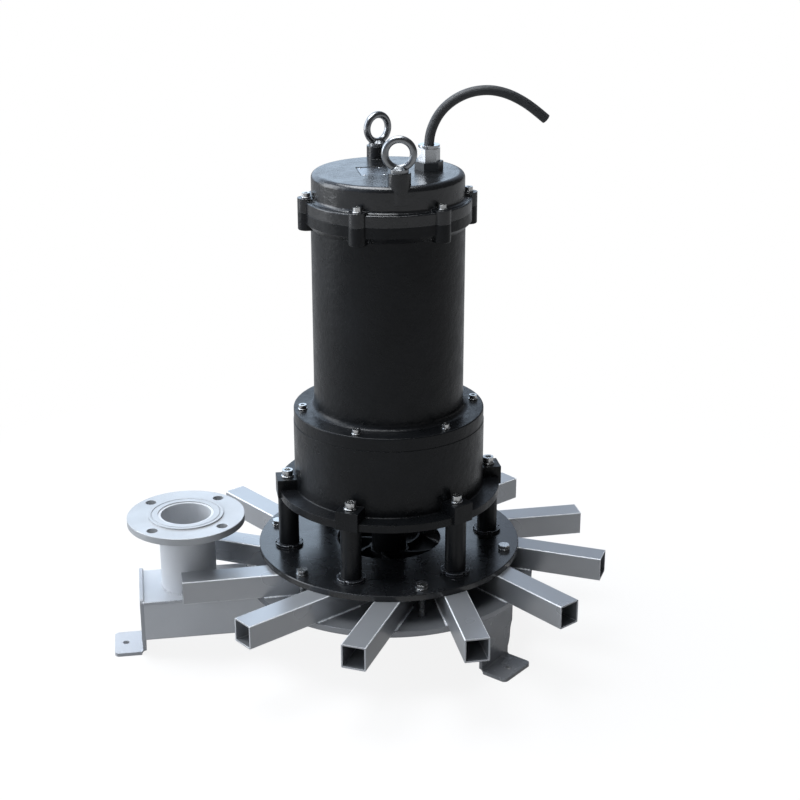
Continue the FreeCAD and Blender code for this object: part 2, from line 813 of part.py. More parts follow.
def stator():
    """Slotted core pressed into the barrel, and the winding that fills its slots."""
    core = new_body("stator_core")
    bore, outside = size("stator_bore_radius"), size("housing_bore_radius")
    revolve(core, [
        (bore, size("stator_bottom")), (outside, size("stator_bottom")), (outside, stator_top),
        (bore, stator_top),
    ])
    slot_inner = bore + size("slot_start")
    middle = slot_inner + size("slot_depth") / 2
    slot = new_sketch(core, offset=stator_top)
    draw_rectangle(slot, middle, 0, size("slot_depth"), size("slot_width"))
    slot_cut = pocket(core, slot, size("stator_length"))
    pattern(core, [slot_cut], size("slot_count"))

    winding = new_body("stator_winding")
    inner, outer = size("winding_head_inner_radius"), size("winding_head_outer_radius")
    gap = size("winding_clearance")
    overhang = size("winding_overhang")
    low = size("stator_bottom")
    revolve(winding, [
        (inner, low - overhang), (outer, low - overhang), (outer, low - gap), (inner, low - gap),
    ])
    revolve(winding, [
        (inner, stator_top + gap), (outer, stator_top + gap), (outer, stator_top + overhang),
        (inner, stator_top + overhang),
    ])
    bar = new_sketch(winding, offset=low - overhang)
    draw_rectangle(bar, middle, 0, size("slot_depth") - gap * 2, size("slot_width") - gap * 2)
    bar_pad = pad(winding, bar, size("stator_length") + overhang * 2)
    pattern(winding, [bar_pad], size("slot_count"))
    return [core, winding]


def rotor_core():
    """Laminated core with a cast end ring on each face, pressed on the shaft."""
    body = new_body("rotor_core")
    outside = size("stator_bore_radius") - size("air_gap")
    ring, seat = size("rotor_end_ring_radius"), size("rotor_seat_radius")
    low, high = size("stator_bottom"), stator_top
    cap = size("rotor_end_ring_height")
    revolve(body, [
        (seat, low - cap), (ring, low - cap), (ring, low), (outside, low), (outside, high), (ring, high),
        (ring, high + cap), (seat, high + cap),
    ])
    return body


def bearing(prefix, bottom, width, bore, outside):
    """Outer and inner ring of a ball bearing, with raceways for its balls."""
    thickness = size("bearing_ring_thickness")
    depth = size("race_depth")
    gap = size("ball_clearance")
    outer_land, inner_land = outside - thickness, bore + thickness
    ball = (outer_land - inner_land) / 2 + depth - gap
    centre = bottom + width / 2
    track = ball + gap
    half = square_root(track * track - (track - depth) * (track - depth))
    rings = []
    for name, back, land in (("outer", outside, outer_land), ("inner", bore, inner_land)):
        body = new_body(f"{prefix}_bearing_{name}_ring")
        corners = [
            (back, bottom), (land, bottom), (land, centre - half), (land, centre + half),
            (land, bottom + width), (back, bottom + width),
        ]
        side = 1 if name == "outer" else -1
        revolve(body, corners, {2: (track, side)})
        rings.append(body)
    return rings, (outer_land + inner_land) / 2, centre, ball


def bearing_balls(prefix, circle, centre, ball):
    """The ring of balls of one bearing."""
    body = new_body(f"{prefix}_bearing_balls")
    turned = revolve(body, [(circle, centre - ball), (circle, centre + ball)], {0: (ball, 1)}, axis_x=circle)
    pattern(body, [turned], size("bearing_ball_count"))
    return body


def upper_bearing_bracket():
    """Disc in the barrel's bore whose hub holds the upper bearing, clamped under the cover's spigot."""
    body = new_body("upper_bearing_bracket")
    seat = size("upper_bearing_outer_radius")
    hub = seat + size("bracket_hub_wall")
    lip = seat - size("bracket_lip")
    top = cover_joint - size("spigot_depth")
    web = size("upper_bearing_bottom") + size("bracket_thickness")
    rim = spigot_radius - size("bracket_hub_wall")
    revolve(body, [
        (seat, size("upper_bearing_bottom")), (spigot_radius, size("upper_bearing_bottom")),
        (spigot_radius, top), (rim, top), (rim, web), (hub, web),
        (hub, upper_bearing_top + size("bracket_lip")), (lip, upper_bearing_top + size("bracket_lip")),
        (lip, upper_bearing_top), (seat, upper_bearing_top),
    ])
    return body


def bearing_carrier():
    """Turned carrier between motor and oil chamber: lower bearing above, upper seal seat below."""
    body = new_body("bearing_carrier")
    seat = size("lower_bearing_outer_radius")
    hub = seat + size("carrier_hub_wall")
    flange = size("chamber_bore_radius") + size("carrier_ledge") - size("spigot_clearance")
    spigot_top = chamber_top + size("spigot_depth")
    seal = size("seal_seat_radius")
    groove_foot = chamber_top + size("seal_groove_drop")
    groove_top = groove_foot + size("seal_groove_width")
    groove_radius = spigot_radius - size("seal_groove_depth")
    revolve(body, [
        (seal, carrier_bottom), (flange, carrier_bottom), (flange, chamber_top),
        (spigot_radius, chamber_top), (spigot_radius, groove_foot), (groove_radius, groove_foot),
        (groove_radius, groove_top), (spigot_radius, groove_top), (spigot_radius, spigot_top),
        (hub, spigot_top),
        (hub, lower_bearing_top), (seat, lower_bearing_top), (seat, size("lower_bearing_bottom")),
        (seal, size("lower_bearing_bottom")),
    ])
    return body


def motor_shaft():
    """Stepped shaft: impeller thread and seat, seal length, bearing seats, shoulder and rotor seat."""
    body = new_body("motor_shaft")
    thread, seat = size("impeller_thread_radius"), size("impeller_hub_bore")
    foot = impeller_hub_bottom - size("impeller_nut_height") - size("shaft_end")
    seal, lower = size("seal_shaft_radius"), size("lower_bearing_bore_radius")
    upper, rotor = size("upper_bearing_bore_radius"), size("rotor_seat_radius")
    shoulder = size("shaft_shoulder_radius")
    rotor_foot = size("stator_bottom") - size("rotor_end_ring_height")
    revolve(body, [
        (0, foot), (thread, foot), (thread, impeller_hub_bottom), (seat, impeller_hub_bottom),
        (seat, impeller_hub_top), (seal, impeller_hub_top), (seal, size("lower_bearing_bottom")),
        (lower, size("lower_bearing_bottom")), (lower, lower_bearing_top), (shoulder, lower_bearing_top),
        (shoulder, rotor_foot), (rotor, rotor_foot), (rotor, size("upper_bearing_bottom")),
        (upper, size("upper_bearing_bottom")), (upper, upper_bearing_top + size("shaft_end")),
        (0, upper_bearing_top + size("shaft_end")),
    ])
    return body


def oil_chamber():
    """Cast chamber: wall, floor with a long nose round the shaft, foot flange and six column pads."""
    body = new_body("oil_chamber")
    wall, bore = size("chamber_radius"), size("chamber_bore_radius")
    ledge = bore + size("carrier_ledge")
    flange = size("chamber_flange_radius")
    floor_top = chamber_bottom + size("chamber_floor_thickness")
    hub_top = floor_top + size("seal_hub_height")
    seat_foot = hub_top - size("seal_seat_height")
    revolve(body, [
        (size("nose_bore_radius"), nose_bottom), (size("nose_radius"), nose_bottom),
        (size("nose_radius"), chamber_bottom), (flange, chamber_bottom), (flange, chamber_flange_top),
        (wall, chamber_flange_top), (wall, chamber_top), (ledge, chamber_top), (ledge, carrier_bottom),
        (bore, carrier_bottom), (bore, floor_top), (size("seal_hub_radius"), floor_top),
        (size("seal_hub_radius"), hub_top), (size("seal_seat_radius"), hub_top),
        (size("seal_seat_radius"), seat_foot), (size("nose_bore_radius"), seat_foot),
    ])
    round_edges(body, size("small_fillet"), lambda edge: is_circle_at(edge, wall, chamber_flange_top))
    block = new_sketch(body, offset=chamber_bottom)
    inner, outer = wall - size("casting_overlap"), size("pad_reach")
    draw_rectangle(block, (inner + outer) / 2, 0, outer - inner, size("pad_width"))
    block_pad = pad(body, block, size("pad_height"))
    pattern(body, [block_pad], size("column_count"))
    holes_on_circle(body, size("pad_circle_radius"), size("column_screw_radius") + size("screw_clearance"),
                    pad_top, size("pad_height"), size("column_count"))
    holes_on_circle(body, size("motor_flange_screw_circle_radius"),
                    size("small_screw_radius") + size("thread_gap"), chamber_top,
                    size("motor_flange_screw_length") - size("motor_flange_thickness") + size("tap_run_out"),
                    size("screw_count"))
    boss = new_sketch(body, "XZ_Plane", -(wall + size("oil_boss_height")))
    draw_circle(boss, 0, size("oil_plug_height"), size("oil_boss_radius"))
    pad(body, boss, size("oil_boss_height") + size("casting_overlap"))
    way = new_sketch(body, "XZ_Plane", -(wall + size("oil_boss_height")))
    draw_circle(way, 0, size("oil_plug_height"), size("oil_plug_radius") + size("thread_gap"))
    pocket(body, way, wall - bore + size("oil_boss_height") + size("cut_clearance"), upward=True)
    return body


def oil_plug():
    """Threaded plug with a socket, screwed into the boss at the back of the chamber."""
    body = new_body("oil_plug")
    face = size("chamber_radius") + size("oil_boss_height")
    head = new_sketch(body, "XZ_Plane", -(face + size("oil_plug_head_height")))
    draw_circle(head, 0, size("oil_plug_height"), size("oil_plug_head_radius"))
    pad(body, head, size("oil_plug_head_height"))
    shank = new_sketch(body, "XZ_Plane", -face)
    draw_circle(shank, 0, size("oil_plug_height"), size("oil_plug_radius"))
    pad(body, shank, size("oil_plug_length"))
    key = new_sketch(body, "XZ_Plane", -(face + size("oil_plug_head_height")))
    draw_hexagon(key, 0, size("oil_plug_height"), size("oil_plug_key"))
    pocket(body, key, size("oil_plug_head_height"), upward=True)
    return body


def mechanical_seals():
    """Two face seals: fixed seats in the floor hub and the carrier, turning heads on the shaft."""
    parts = []
    shaft, seat = size("seal_shaft_radius"), size("seal_seat_radius")
    clear = shaft + size("seal_seat_clearance")
    head, height = size("seal_head_radius"), size("seal_head_height")
    thickness, gap = size("seal_seat_height"), size("seal_face_gap")
    hub_top = chamber_bottom + size("chamber_floor_thickness") + size("seal_hub_height")
    rings = [
        ("lower_seal_seat", clear, seat, hub_top - thickness, hub_top),
        ("upper_seal_seat", clear, seat, carrier_bottom, carrier_bottom + thickness),
        ("lower_seal_head", shaft, head, hub_top + gap, hub_top + gap + height),
        ("upper_seal_head", shaft, head, carrier_bottom - gap - height, carrier_bottom - gap),
    ]
    for name, inner, outer, low, high in rings:
        body = new_body(name)
        revolve(body, [(inner, low), (outer, low), (outer, high), (inner, high)])
        parts.append(body)
    return parts


def support_columns():
    """Round columns between suction plate and chamber, tapped at the top, with a spigot below."""
    body = new_body("support_columns")
    centre = size("pad_circle_radius")
    tap = size("column_screw_radius") + size("thread_gap")
    depth = size("column_screw_length") - size("pad_height") + size("tap_run_out")
    turned = revolve(body, [
        (centre, tube_top), (centre + size("column_spigot_radius"), tube_top),
        (centre + size("column_spigot_radius"), suction_plate_top),
        (centre + size("column_radius"), suction_plate_top), (centre + size("column_radius"), chamber_bottom),
        (centre + tap, chamber_bottom), (centre + tap, chamber_bottom - depth),
        (centre, chamber_bottom - depth),
    ], axis_x=centre)
    pattern(body, [turned], size("column_count"))
    return body


def column_lock_nuts():
    """Slotted ring nuts at the columns' feet."""
    body = new_body("column_lock_nuts")
    centre, outer = size("pad_circle_radius"), size("lock_nut_radius")
    inner = size("column_radius") + size("column_fit")
    top = suction_plate_top + size("lock_nut_height")
    turned = revolve(body, [
        (centre + inner, suction_plate_top), (centre + outer, suction_plate_top), (centre + outer, top),
        (centre + inner, top),
    ], axis_x=centre)
    slots = new_sketch(body, offset=top)
    beyond = size("cut_clearance")
    reach = outer - (size("lock_nut_slot_depth") - beyond) / 2
    depth, width = size("lock_nut_slot_depth") + beyond, size("lock_nut_slot_width")
    for side in (-1, 1):
        draw_rectangle(slots, centre + reach * side, 0, depth, width)
        draw_rectangle(slots, centre, reach * side, width, depth)
    cut = pocket(body, slots, size("lock_nut_height"))
    pattern(body, [turned, cut], size("column_count"))
    return body


def suction_plate():
    """Round plate with the suction hole, six column seats and six bolt holes."""
    body = new_body("suction_plate")
    outer, hole = size("suction_plate_radius"), size("suction_hole_radius")
    revolve(body, [
        (hole, tube_top), (outer, tube_top), (outer, suction_plate_top), (hole, suction_plate_top),
    ])
    round_edges(body, size("plate_edge_chamfer"), lambda edge: (
        is_circle_at(edge, outer, suction_plate_top) or is_circle_at(edge, hole, suction_plate_top)),
        chamfer=True)
    holes_on_circle(body, size("pad_circle_radius"), size("column_spigot_radius") + size("column_fit"),
                    suction_plate_top, size("suction_plate_thickness"), size("column_count"))
    holes_on_circle(body, size("plate_bolt_circle_radius"),
                    size("plate_bolt_radius") + size("screw_clearance"), suction_plate_top,
                    size("suction_plate_thickness"), size("plate_bolt_count"), size("plate_bolt_start_angle"))
    return body


def plate_fasteners():
    """Long hexagon bolts that clamp suction plate, tubes and bottom plate, with washers and nuts."""
    angle, circle = size("plate_bolt_start_angle"), size("plate_bolt_circle_radius")
    count, radius = size("plate_bolt_count"), size("plate_bolt_radius")
    thickness = size("washer_thickness")
    seat = suction_plate_top + thickness
    nut_top = duct_top - thickness
    nut_foot = nut_top - size("plate_nut_height")

    bolts = new_body("plate_bolts")
    head = new_sketch(bolts, offset=seat)
    draw_hexagon(head, circle, 0, size("plate_bolt_across"))
    head_pad = pad(bolts, head, size("plate_bolt_head_height"))
    shank = new_sketch(bolts, offset=nut_foot - size("plate_bolt_end"))
    draw_circle(shank, circle, 0, radius)
    shank_pad = pad(bolts, shank, seat - nut_foot + size("plate_bolt_end"))
    pattern(bolts, [head_pad, shank_pad], count)

    washers = new_body("plate_washers")
    inner = radius + size("screw_clearance")
    rings = []
    for foot in (suction_plate_top, nut_top):
        sketch = new_sketch(washers, offset=foot)
        draw_circle(sketch, circle, 0, size("washer_radius"))
        draw_circle(sketch, circle, 0, inner)
        rings.append(pad(washers, sketch, thickness))
    pattern(washers, rings, count)

    nuts = new_body("plate_nuts")
    sketch = new_sketch(nuts, offset=nut_foot)
    draw_hexagon(sketch, circle, 0, size("plate_bolt_across"))
    draw_circle(sketch, circle, 0, radius + size("thread_gap"))
    pattern(nuts, [pad(nuts, sketch, size("plate_nut_height"))], count)
    return [place(body, turn=angle) for body in (bolts, washers, nuts)]


def mixing_ring():
    """Ring wall round the impeller, of curved strips that close the gaps between the outlet tubes."""
    body = new_body("mixing_ring")
    outer = size("mixing_ring_radius")
    inner = outer - size("mixing_ring_wall")
    revolve(body, [
        (inner, bottom_plate_top), (outer, bottom_plate_top), (outer, tube_top), (inner, tube_top),
    ])
    clear = size("tube_size") - size("tube_wall") * 2
    start = size("tube_offset") - size("tube_blank_setback")
    passage = new_sketch(body, "YZ_Plane", start)
    draw_rectangle(passage, size("tube_offset"), bottom_plate_top + size("tube_size") / 2,
                   clear, size("tube_size") + size("cut_clearance") * 2)
    cut = pocket(body, passage, outer - start, upward=True)
    pattern(body, [cut], size("tube_count"))
    return place(body, turn=size("tube_turn"))


def outlet_tube(number):
    """Square tube set beside the centre line, its inner end cut to the ring it is welded to."""
    body = new_body(f"outlet_tube_{number + 1:02d}")
    outside, wall = size("tube_size"), size("tube_wall")
    middle = bottom_plate_top + outside / 2
    start = size("tube_offset") - size("tube_blank_setback")
    section = new_sketch(body, "YZ_Plane", start)
    draw_rectangle(section, size("tube_offset"), middle, outside, outside)
    draw_rectangle(section, size("tube_offset"), middle, outside - wall * 2, outside - wall * 2)
    pad(body, section, size("tube_reach") - start)
    round_edges(body, size("tube_corner"), lambda edge: (
        near(abs(edge.BoundBox.Center.y - size("tube_offset").number), outside / 2)
        and near(abs(edge.BoundBox.Center.z - middle.number), outside / 2)))
    end = new_sketch(body, offset=tube_top)
    draw_circle(end, 0, 0, size("mixing_ring_radius"))
    pocket(body, end, outside)
    return place(body, turn=as_length(360 * number) / size("tube_count") + size("tube_turn"))


def bottom_plate():
    """Round plate under the tubes, with the air hole and six bolt holes."""
    body = new_body("bottom_plate")
    outer = size("bottom_plate_radius")
    revolve(body, [
        (size("air_hole_radius"), duct_top), (outer, duct_top), (outer, bottom_plate_top),
        (size("air_hole_radius"), bottom_plate_top),
    ])
    holes_on_circle(body, size("plate_bolt_circle_radius"),
                    size("plate_bolt_radius") + size("screw_clearance"), bottom_plate_top,
                    size("bottom_plate_thickness"), size("plate_bolt_count"), size("plate_bolt_start_angle"))
    return body


def air_duct():
    """Welded box from the inlet pipe to the air hole, hollow, closed at both ends."""
    body = new_body("air_duct")
    width, height, wall = size("duct_width"), size("duct_height"), size("duct_wall")
    tail, reach = size("duct_tail"), size("duct_reach")
    shell = new_sketch(body, offset=size("duct_floor_gap"))
    draw_rectangle(shell, (tail - reach) / 2, 0, tail + reach, width)
    pad(body, shell, height)
    round_edges(body, size("duct_corner"), lambda edge: (
        edge.BoundBox.XLength > SLACK and near(abs(edge.BoundBox.Center.y), width / 2)))
    inside = new_sketch(body, offset=duct_top - wall)
    draw_rectangle(inside, (tail - reach) / 2, 0, tail + reach - wall * 2, width - wall * 2)
    pocket(body, inside, height - wall * 2)
    openings = new_sketch(body, offset=duct_top)
    draw_circle(openings, 0, 0, size("air_hole_radius"))
    draw_circle(openings, size("inlet_x"), 0, size("inlet_pipe_radius") - size("inlet_pipe_wall"))
    pocket(body, openings, wall + size("cut_clearance"))
    return body


def inlet_pipe():
    """Pipe from the duct's lid to just below the flange's raised face."""
    body = new_body("inlet_pipe")
    outer = size("inlet_pipe_radius")
    inner = outer - size("inlet_pipe_wall")
    top = size("inlet_flange_top") + size("raised_face_height") - size("inlet_pipe_setback")
    revolve(body, [(inner, duct_top), (outer, duct_top), (outer, top), (inner, top)])
    return place(body, x=size("inlet_x"))


def inlet_flange():
    """Slip-on pipe flange with a raised face, one fine groove and four bolt holes off the axes."""
    body = new_body("inlet_flange")
    bore = size("inlet_pipe_radius") + size("spigot_clearance")
    outer, face = size("inlet_flange_radius"), size("raised_face_radius")
    top = size("inlet_flange_top")
    foot, crown = top - size("inlet_flange_thickness"), top + size("raised_face_height")
    groove, width = size("face_groove_radius"), size("face_groove_width")
    groove_floor = crown - size("face_groove_depth")
    revolve(body, [
        (bore, foot), (outer, foot), (outer, top), (face, top), (face, crown), (groove + width, crown),
        (groove + width, groove_floor), (groove, groove_floor), (groove, crown), (bore, crown),
    ])
    round_edges(body, size("plate_edge_chamfer"), lambda edge: (
        is_circle_at(edge, outer, top) or is_circle_at(edge, outer, foot)))
    holes_on_circle(body, size("inlet_bolt_circle_radius"), size("inlet_bolt_hole_radius"), top,
                    size("inlet_flange_thickness"), size("inlet_bolt_count"), size("inlet_bolt_start_angle"))
    return place(body, x=size("inlet_x"))


def bent_foot(name, height, top_width, flare_top, flare_height):
    """Bent plate foot: upstand at local x = 0, wider above a flare, and a sole along X with one hole."""
    body = new_body(name)
    plate, bend = size("foot_plate_thickness"), size("foot_bend_radius")
    length, width = size("foot_length"), size("foot_width")
    profile = new_sketch(body, "XZ_Plane")
    draw_outline(profile, [
        (plate + bend, 0), (plate + length, 0), (plate + length, plate), (plate + bend, plate),
        (plate, plate + bend), (plate, height), (0, height), (0, plate + bend),
    ], {3: (bend, 1), 7: (bend + plate, -1)})
    pad(body, profile, top_width, both_ways=True)
    flare = (top_width - width) / 2
    rise = flare_height / 2
    radius = (flare * flare / 4 + rise * rise) / flare
    low = flare_top - flare_height
    beyond = size("cut_clearance")
    for side in (-1, 1):
        trim = new_sketch(body, "YZ_Plane", -beyond)
        inner, outer = width / 2 * side, (top_width / 2 + beyond) * side
        edge = top_width / 2 * side
        middle = (inner + edge) / 2
        draw_outline(trim, [
            (inner, -beyond), (inner, low), (middle, low + rise), (edge, flare_top),
            (outer, flare_top), (outer, -beyond),
        ], {1: (radius, side), 2: (radius, -side)})
        pocket(body, trim, length + plate + beyond * 2, upward=True)
    end = plate + length
    round_edges(body, size("foot_corner"), lambda edge: (
        near(edge.BoundBox.Center.x, end) and near(edge.BoundBox.ZLength, plate)
        and edge.BoundBox.YLength < SLACK))
    hole = new_sketch(body, offset=plate)
    draw_circle(hole, plate + size("foot_hole_distance"), 0, size("foot_hole_radius"))
    pocket(body, hole, plate)
    return body


def feet():
    """The tall foot at the duct's end and two flared feet under the bottom plate."""
    top = size("duct_foot_height")
    duct = bent_foot("duct_foot", top, size("duct_width"), size("duct_floor_gap"),
                     size("duct_foot_flare_height"))
    round_edges(duct, size("foot_corner"), lambda edge: (
        near(edge.BoundBox.Center.z, top) and near(edge.BoundBox.XLength, size("foot_plate_thickness"))
        and edge.BoundBox.YLength < SLACK))
    place(duct, x=-size("duct_reach"), turn=180)
    parts = [duct]
    inner = size("plate_foot_radius") - size("foot_plate_thickness")
    for name, sign in (("front_foot", -1), ("rear_foot", 1)):
        angle = size("plate_foot_angle") * sign
        flare = size("plate_foot_flare_height")
        foot = bent_foot(name, duct_top, size("plate_foot_top_width"), duct_top - flare, flare)
        parts.append(place(foot, inner * cosine(angle), inner * sine(angle), turn=angle))
    return parts


def impeller():
    """Hub and disc with six swept blades that reach above and below the disc."""
    body = new_body("impeller")
    bore, hub, outer = size("impeller_hub_bore"), size("impeller_hub_radius"), size("impeller_radius")
    disc_foot = impeller_hub_top - size("impeller_disc_drop")
    disc_top = disc_foot + size("impeller_disc_thickness")
    revolve(body, [
        (bore, impeller_hub_bottom), (hub, impeller_hub_bottom), (hub, disc_foot), (outer, disc_foot),
        (outer, disc_top), (hub, disc_top), (hub, impeller_hub_top), (bore, impeller_hub_top),
    ])
    blade_foot = disc_foot - size("impeller_blade_drop")
    blade = new_sketch(body, offset=blade_foot)
    sweep, thickness = size("impeller_blade_sweep"), size("impeller_blade_thickness")
    curve = size("impeller_blade_curve")
    root = hub - size("impeller_blade_root_depth")
    tip = outer - size("impeller_blade_tip_setback")
    across = thickness / tip * (180 / math.pi)
    draw_outline(blade, [
        (root, -(thickness / 2)), (tip * cosine(sweep), tip * sine(sweep)),
        (tip * cosine(sweep + across), tip * sine(sweep + across)), (root, thickness / 2),
    ], {0: (curve, 1), 2: (curve - thickness, -1)})
    height = disc_top + size("impeller_blade_rise") - blade_foot
    pattern(body, [pad(body, blade, height)], size("impeller_blade_count"))
    return body


def impeller_nut():
    """Hexagon nut that holds the impeller on the shaft's thread."""
    body = new_body("impeller_nut")
    sketch = new_sketch(body, offset=impeller_hub_bottom - size("impeller_nut_height"))
    draw_hexagon(sketch, 0, 0, size("impeller_nut_across"))
    draw_circle(sketch, 0, 0, size("impeller_thread_radius"))
    pad(body, sketch, size("impeller_nut_height"))
    return body


def build_parts():
    """All sub-parts in the frame's place, from the cover down."""
    parts = [motor_top_cover(), nameplate()]
    groove = spigot_radius - size("seal_groove_depth")
    half_groove = size("seal_groove_width") / 2
    parts.append(seal_ring("cover_seal_ring", groove, cover_joint - size("seal_groove_drop") - half_groove))
    parts.append(seal_ring("carrier_seal_ring", groove, chamber_top + size("seal_groove_drop") + half_groove))
    parts.append(eye_bolt("eye_bolt_front", -size("eye_boss_circle_radius"), size("eye_turn_front")))
    parts.append(eye_bolt("eye_bolt_rear", size("eye_boss_circle_radius"), size("eye_turn_rear")))
    parts += cable_gland()
    parts.append(power_cable())
    radius = size("small_screw_radius")
    head_radius, head_height = size("small_screw_head_radius"), size("small_screw_head_height")
    key, key_depth = size("small_screw_key"), size("small_screw_key_depth")
    cover_screws = socket_screws("cover_screws", size("screw_count"), size("lug_circle_radius"), radius,
                                 size("cover_screw_length"), head_radius, head_height, key, key_depth)
    parts.append(place(cover_screws, z=lug_top))
    flange_screws = socket_screws("motor_flange_screws", size("screw_count"),
                                  size("motor_flange_screw_circle_radius"), radius,
                                  size("motor_flange_screw_length"), head_radius, head_height, key, key_depth)
    parts.append(place(flange_screws, z=motor_flange_top))
    column_screws = socket_screws("column_screws", size("column_count"), size("pad_circle_radius"),
                                  size("column_screw_radius"), size("column_screw_length"),
                                  size("column_screw_head_radius"), size("column_screw_head_height"),
                                  size("column_screw_key"), size("column_screw_key_depth"))
    parts.append(place(column_screws, z=pad_top))
    parts.append(motor_housing())
    parts += stator()
    parts += [rotor_core(), motor_shaft(), upper_bearing_bracket(), bearing_carrier()]
    for prefix in ("upper", "lower"):
        rings, circle, centre, ball = bearing(
            prefix, size(f"{prefix}_bearing_bottom"), size(f"{prefix}_bearing_width"),
            size(f"{prefix}_bearing_bore_radius"), size(f"{prefix}_bearing_outer_radius"))
        parts += rings
        parts.append(bearing_balls(prefix, circle, centre, ball))
    parts += [oil_chamber(), oil_plug()]
    parts += mechanical_seals()
    parts += [support_columns(), column_lock_nuts(), suction_plate()]
    parts += plate_fasteners()
    parts.append(mixing_ring())
    parts += [outlet_tube(number) for number in range(int(size("tube_count").number))]
    parts += [bottom_plate(), air_duct(), inlet_pipe(), inlet_flange()]
    parts += feet()
    parts += [impeller(), impeller_nut()]
    return parts


sub_parts = build_parts()
doc.recompute()
for item in doc.Objects:
    if "Invalid" in item.State or "Error" in item.State:
        raise ValueError(f"{item.Label}: {item.State}")
faulty = [item.Label for item in sub_parts if item.Shape.isNull() or not item.Shape.isValid()]
if faulty:
    raise ValueError(f"no valid shape: {faulty}")
os.makedirs("parts", exist_ok=True)
for sub_part in sub_parts:
    sub_part.Shape.exportStep(f"parts/{sub_part.Label}.step")
    box = sub_part.Shape.BoundBox
    corner = [round(value, 1) for value in (box.XMin, box.YMin, box.ZMin, box.XMax, box.YMax, box.ZMax)]
    print(sub_part.Label, "solids", len(sub_part.Shape.Solids), "box", corner)
print("sub-parts", len(sub_parts))
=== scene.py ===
"""Submersible aerator on a pale floor: finishes, weld beads, washers and the cable."""
import math

import bpy
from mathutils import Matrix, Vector


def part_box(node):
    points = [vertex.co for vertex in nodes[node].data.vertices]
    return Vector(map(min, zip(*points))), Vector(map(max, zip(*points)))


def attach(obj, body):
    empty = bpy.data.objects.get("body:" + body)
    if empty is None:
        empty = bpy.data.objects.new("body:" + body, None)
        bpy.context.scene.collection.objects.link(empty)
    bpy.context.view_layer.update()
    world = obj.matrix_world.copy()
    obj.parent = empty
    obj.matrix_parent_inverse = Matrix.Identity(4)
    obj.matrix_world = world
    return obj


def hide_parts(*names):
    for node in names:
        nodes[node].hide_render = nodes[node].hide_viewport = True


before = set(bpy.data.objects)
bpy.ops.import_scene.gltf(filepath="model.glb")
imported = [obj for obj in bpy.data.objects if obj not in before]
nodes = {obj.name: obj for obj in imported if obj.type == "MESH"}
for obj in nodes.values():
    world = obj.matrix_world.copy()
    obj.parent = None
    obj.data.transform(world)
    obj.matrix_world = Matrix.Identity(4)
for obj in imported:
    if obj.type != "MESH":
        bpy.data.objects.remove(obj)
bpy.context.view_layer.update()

# Motor housing, cover and oil chamber: grey iron castings, sprayed black after machining.
# The spray leaves a glossy coat with a fine ripple over the castings' grain, and a little
# dust dulls it in patches.
PAINT_DEPTH = 0.0005
RELIEF_GAIN = 2.5


def link(tree, source, target):
    tree.links.new(source, target)


def new_material(name):
    material = bpy.data.materials.new(name)
    material.use_nodes = True
    tree = material.node_tree
    return material, tree, tree.nodes["Principled BSDF"]


def grain(tree, scale, detail=4.0):
    """Noise on the piece's own coordinates; scale counts its cells per metre."""
    place = tree.nodes.new("ShaderNodeTexCoord")
    noise = tree.nodes.new("ShaderNodeTexNoise")
    noise.inputs["Scale"].default_value = scale
    noise.inputs["Detail"].default_value = detail
    link(tree, place.outputs["Object"], noise.inputs["Vector"])
    return noise.outputs["Fac"]


def spread(tree, value, low, high, from_low=0.3, from_high=0.7):
    """Maps the middle of a noise, or another stretch of a value, to a range of values."""
    node = tree.nodes.new("ShaderNodeMapRange")
    node.inputs["From Min"].default_value = from_low
    node.inputs["From Max"].default_value = from_high
    node.inputs["To Min"].default_value = low
    node.inputs["To Max"].default_value = high
    link(tree, value, node.inputs["Value"])
    return node.outputs["Result"]


def tint(tree, value, first, second):
    """A mix of two colours; the first may be another node's output."""
    node = tree.nodes.new("ShaderNodeMix")
    node.data_type = "RGBA"
    if isinstance(first, tuple):
        node.inputs["A"].default_value = (*first, 1.0)
    else:
        link(tree, first, node.inputs["A"])
    node.inputs["B"].default_value = (*second, 1.0)
    link(tree, value, node.inputs["Factor"])
    return node.outputs["Result"]


def maths(tree, operation, *values):
    """A sum on values that are plain numbers or other nodes' outputs."""
    node = tree.nodes.new("ShaderNodeMath")
    node.operation = operation
    for socket, value in zip(node.inputs, values):
        if isinstance(value, (int, float)):
            socket.default_value = value
        else:
            link(tree, value, socket)
    return node.outputs["Value"]


def rounded(tree, radius):
    """The surface's direction with its sharp corners rounded by that many metres."""
    bevel = tree.nodes.new("ShaderNodeBevel")
    bevel.samples = 4
    bevel.inputs["Radius"].default_value = radius
    return bevel.outputs["Normal"]


def relief(tree, shader, heights, edge=0.0, depth=PAINT_DEPTH):
    """Bump from one or more heights, over corners rounded by edge."""
    total = heights[0]
    for height in heights[1:]:
        total = maths(tree, "ADD", total, height)
    bump = tree.nodes.new("ShaderNodeBump")
    bump.inputs["Strength"].default_value = 1.0
    bump.inputs["Distance"].default_value = depth
    link(tree, total, bump.inputs["Height"])
    if edge:
        link(tree, rounded(tree, edge), bump.inputs["Normal"])
    link(tree, bump.outputs["Normal"], shader.inputs["Normal"])


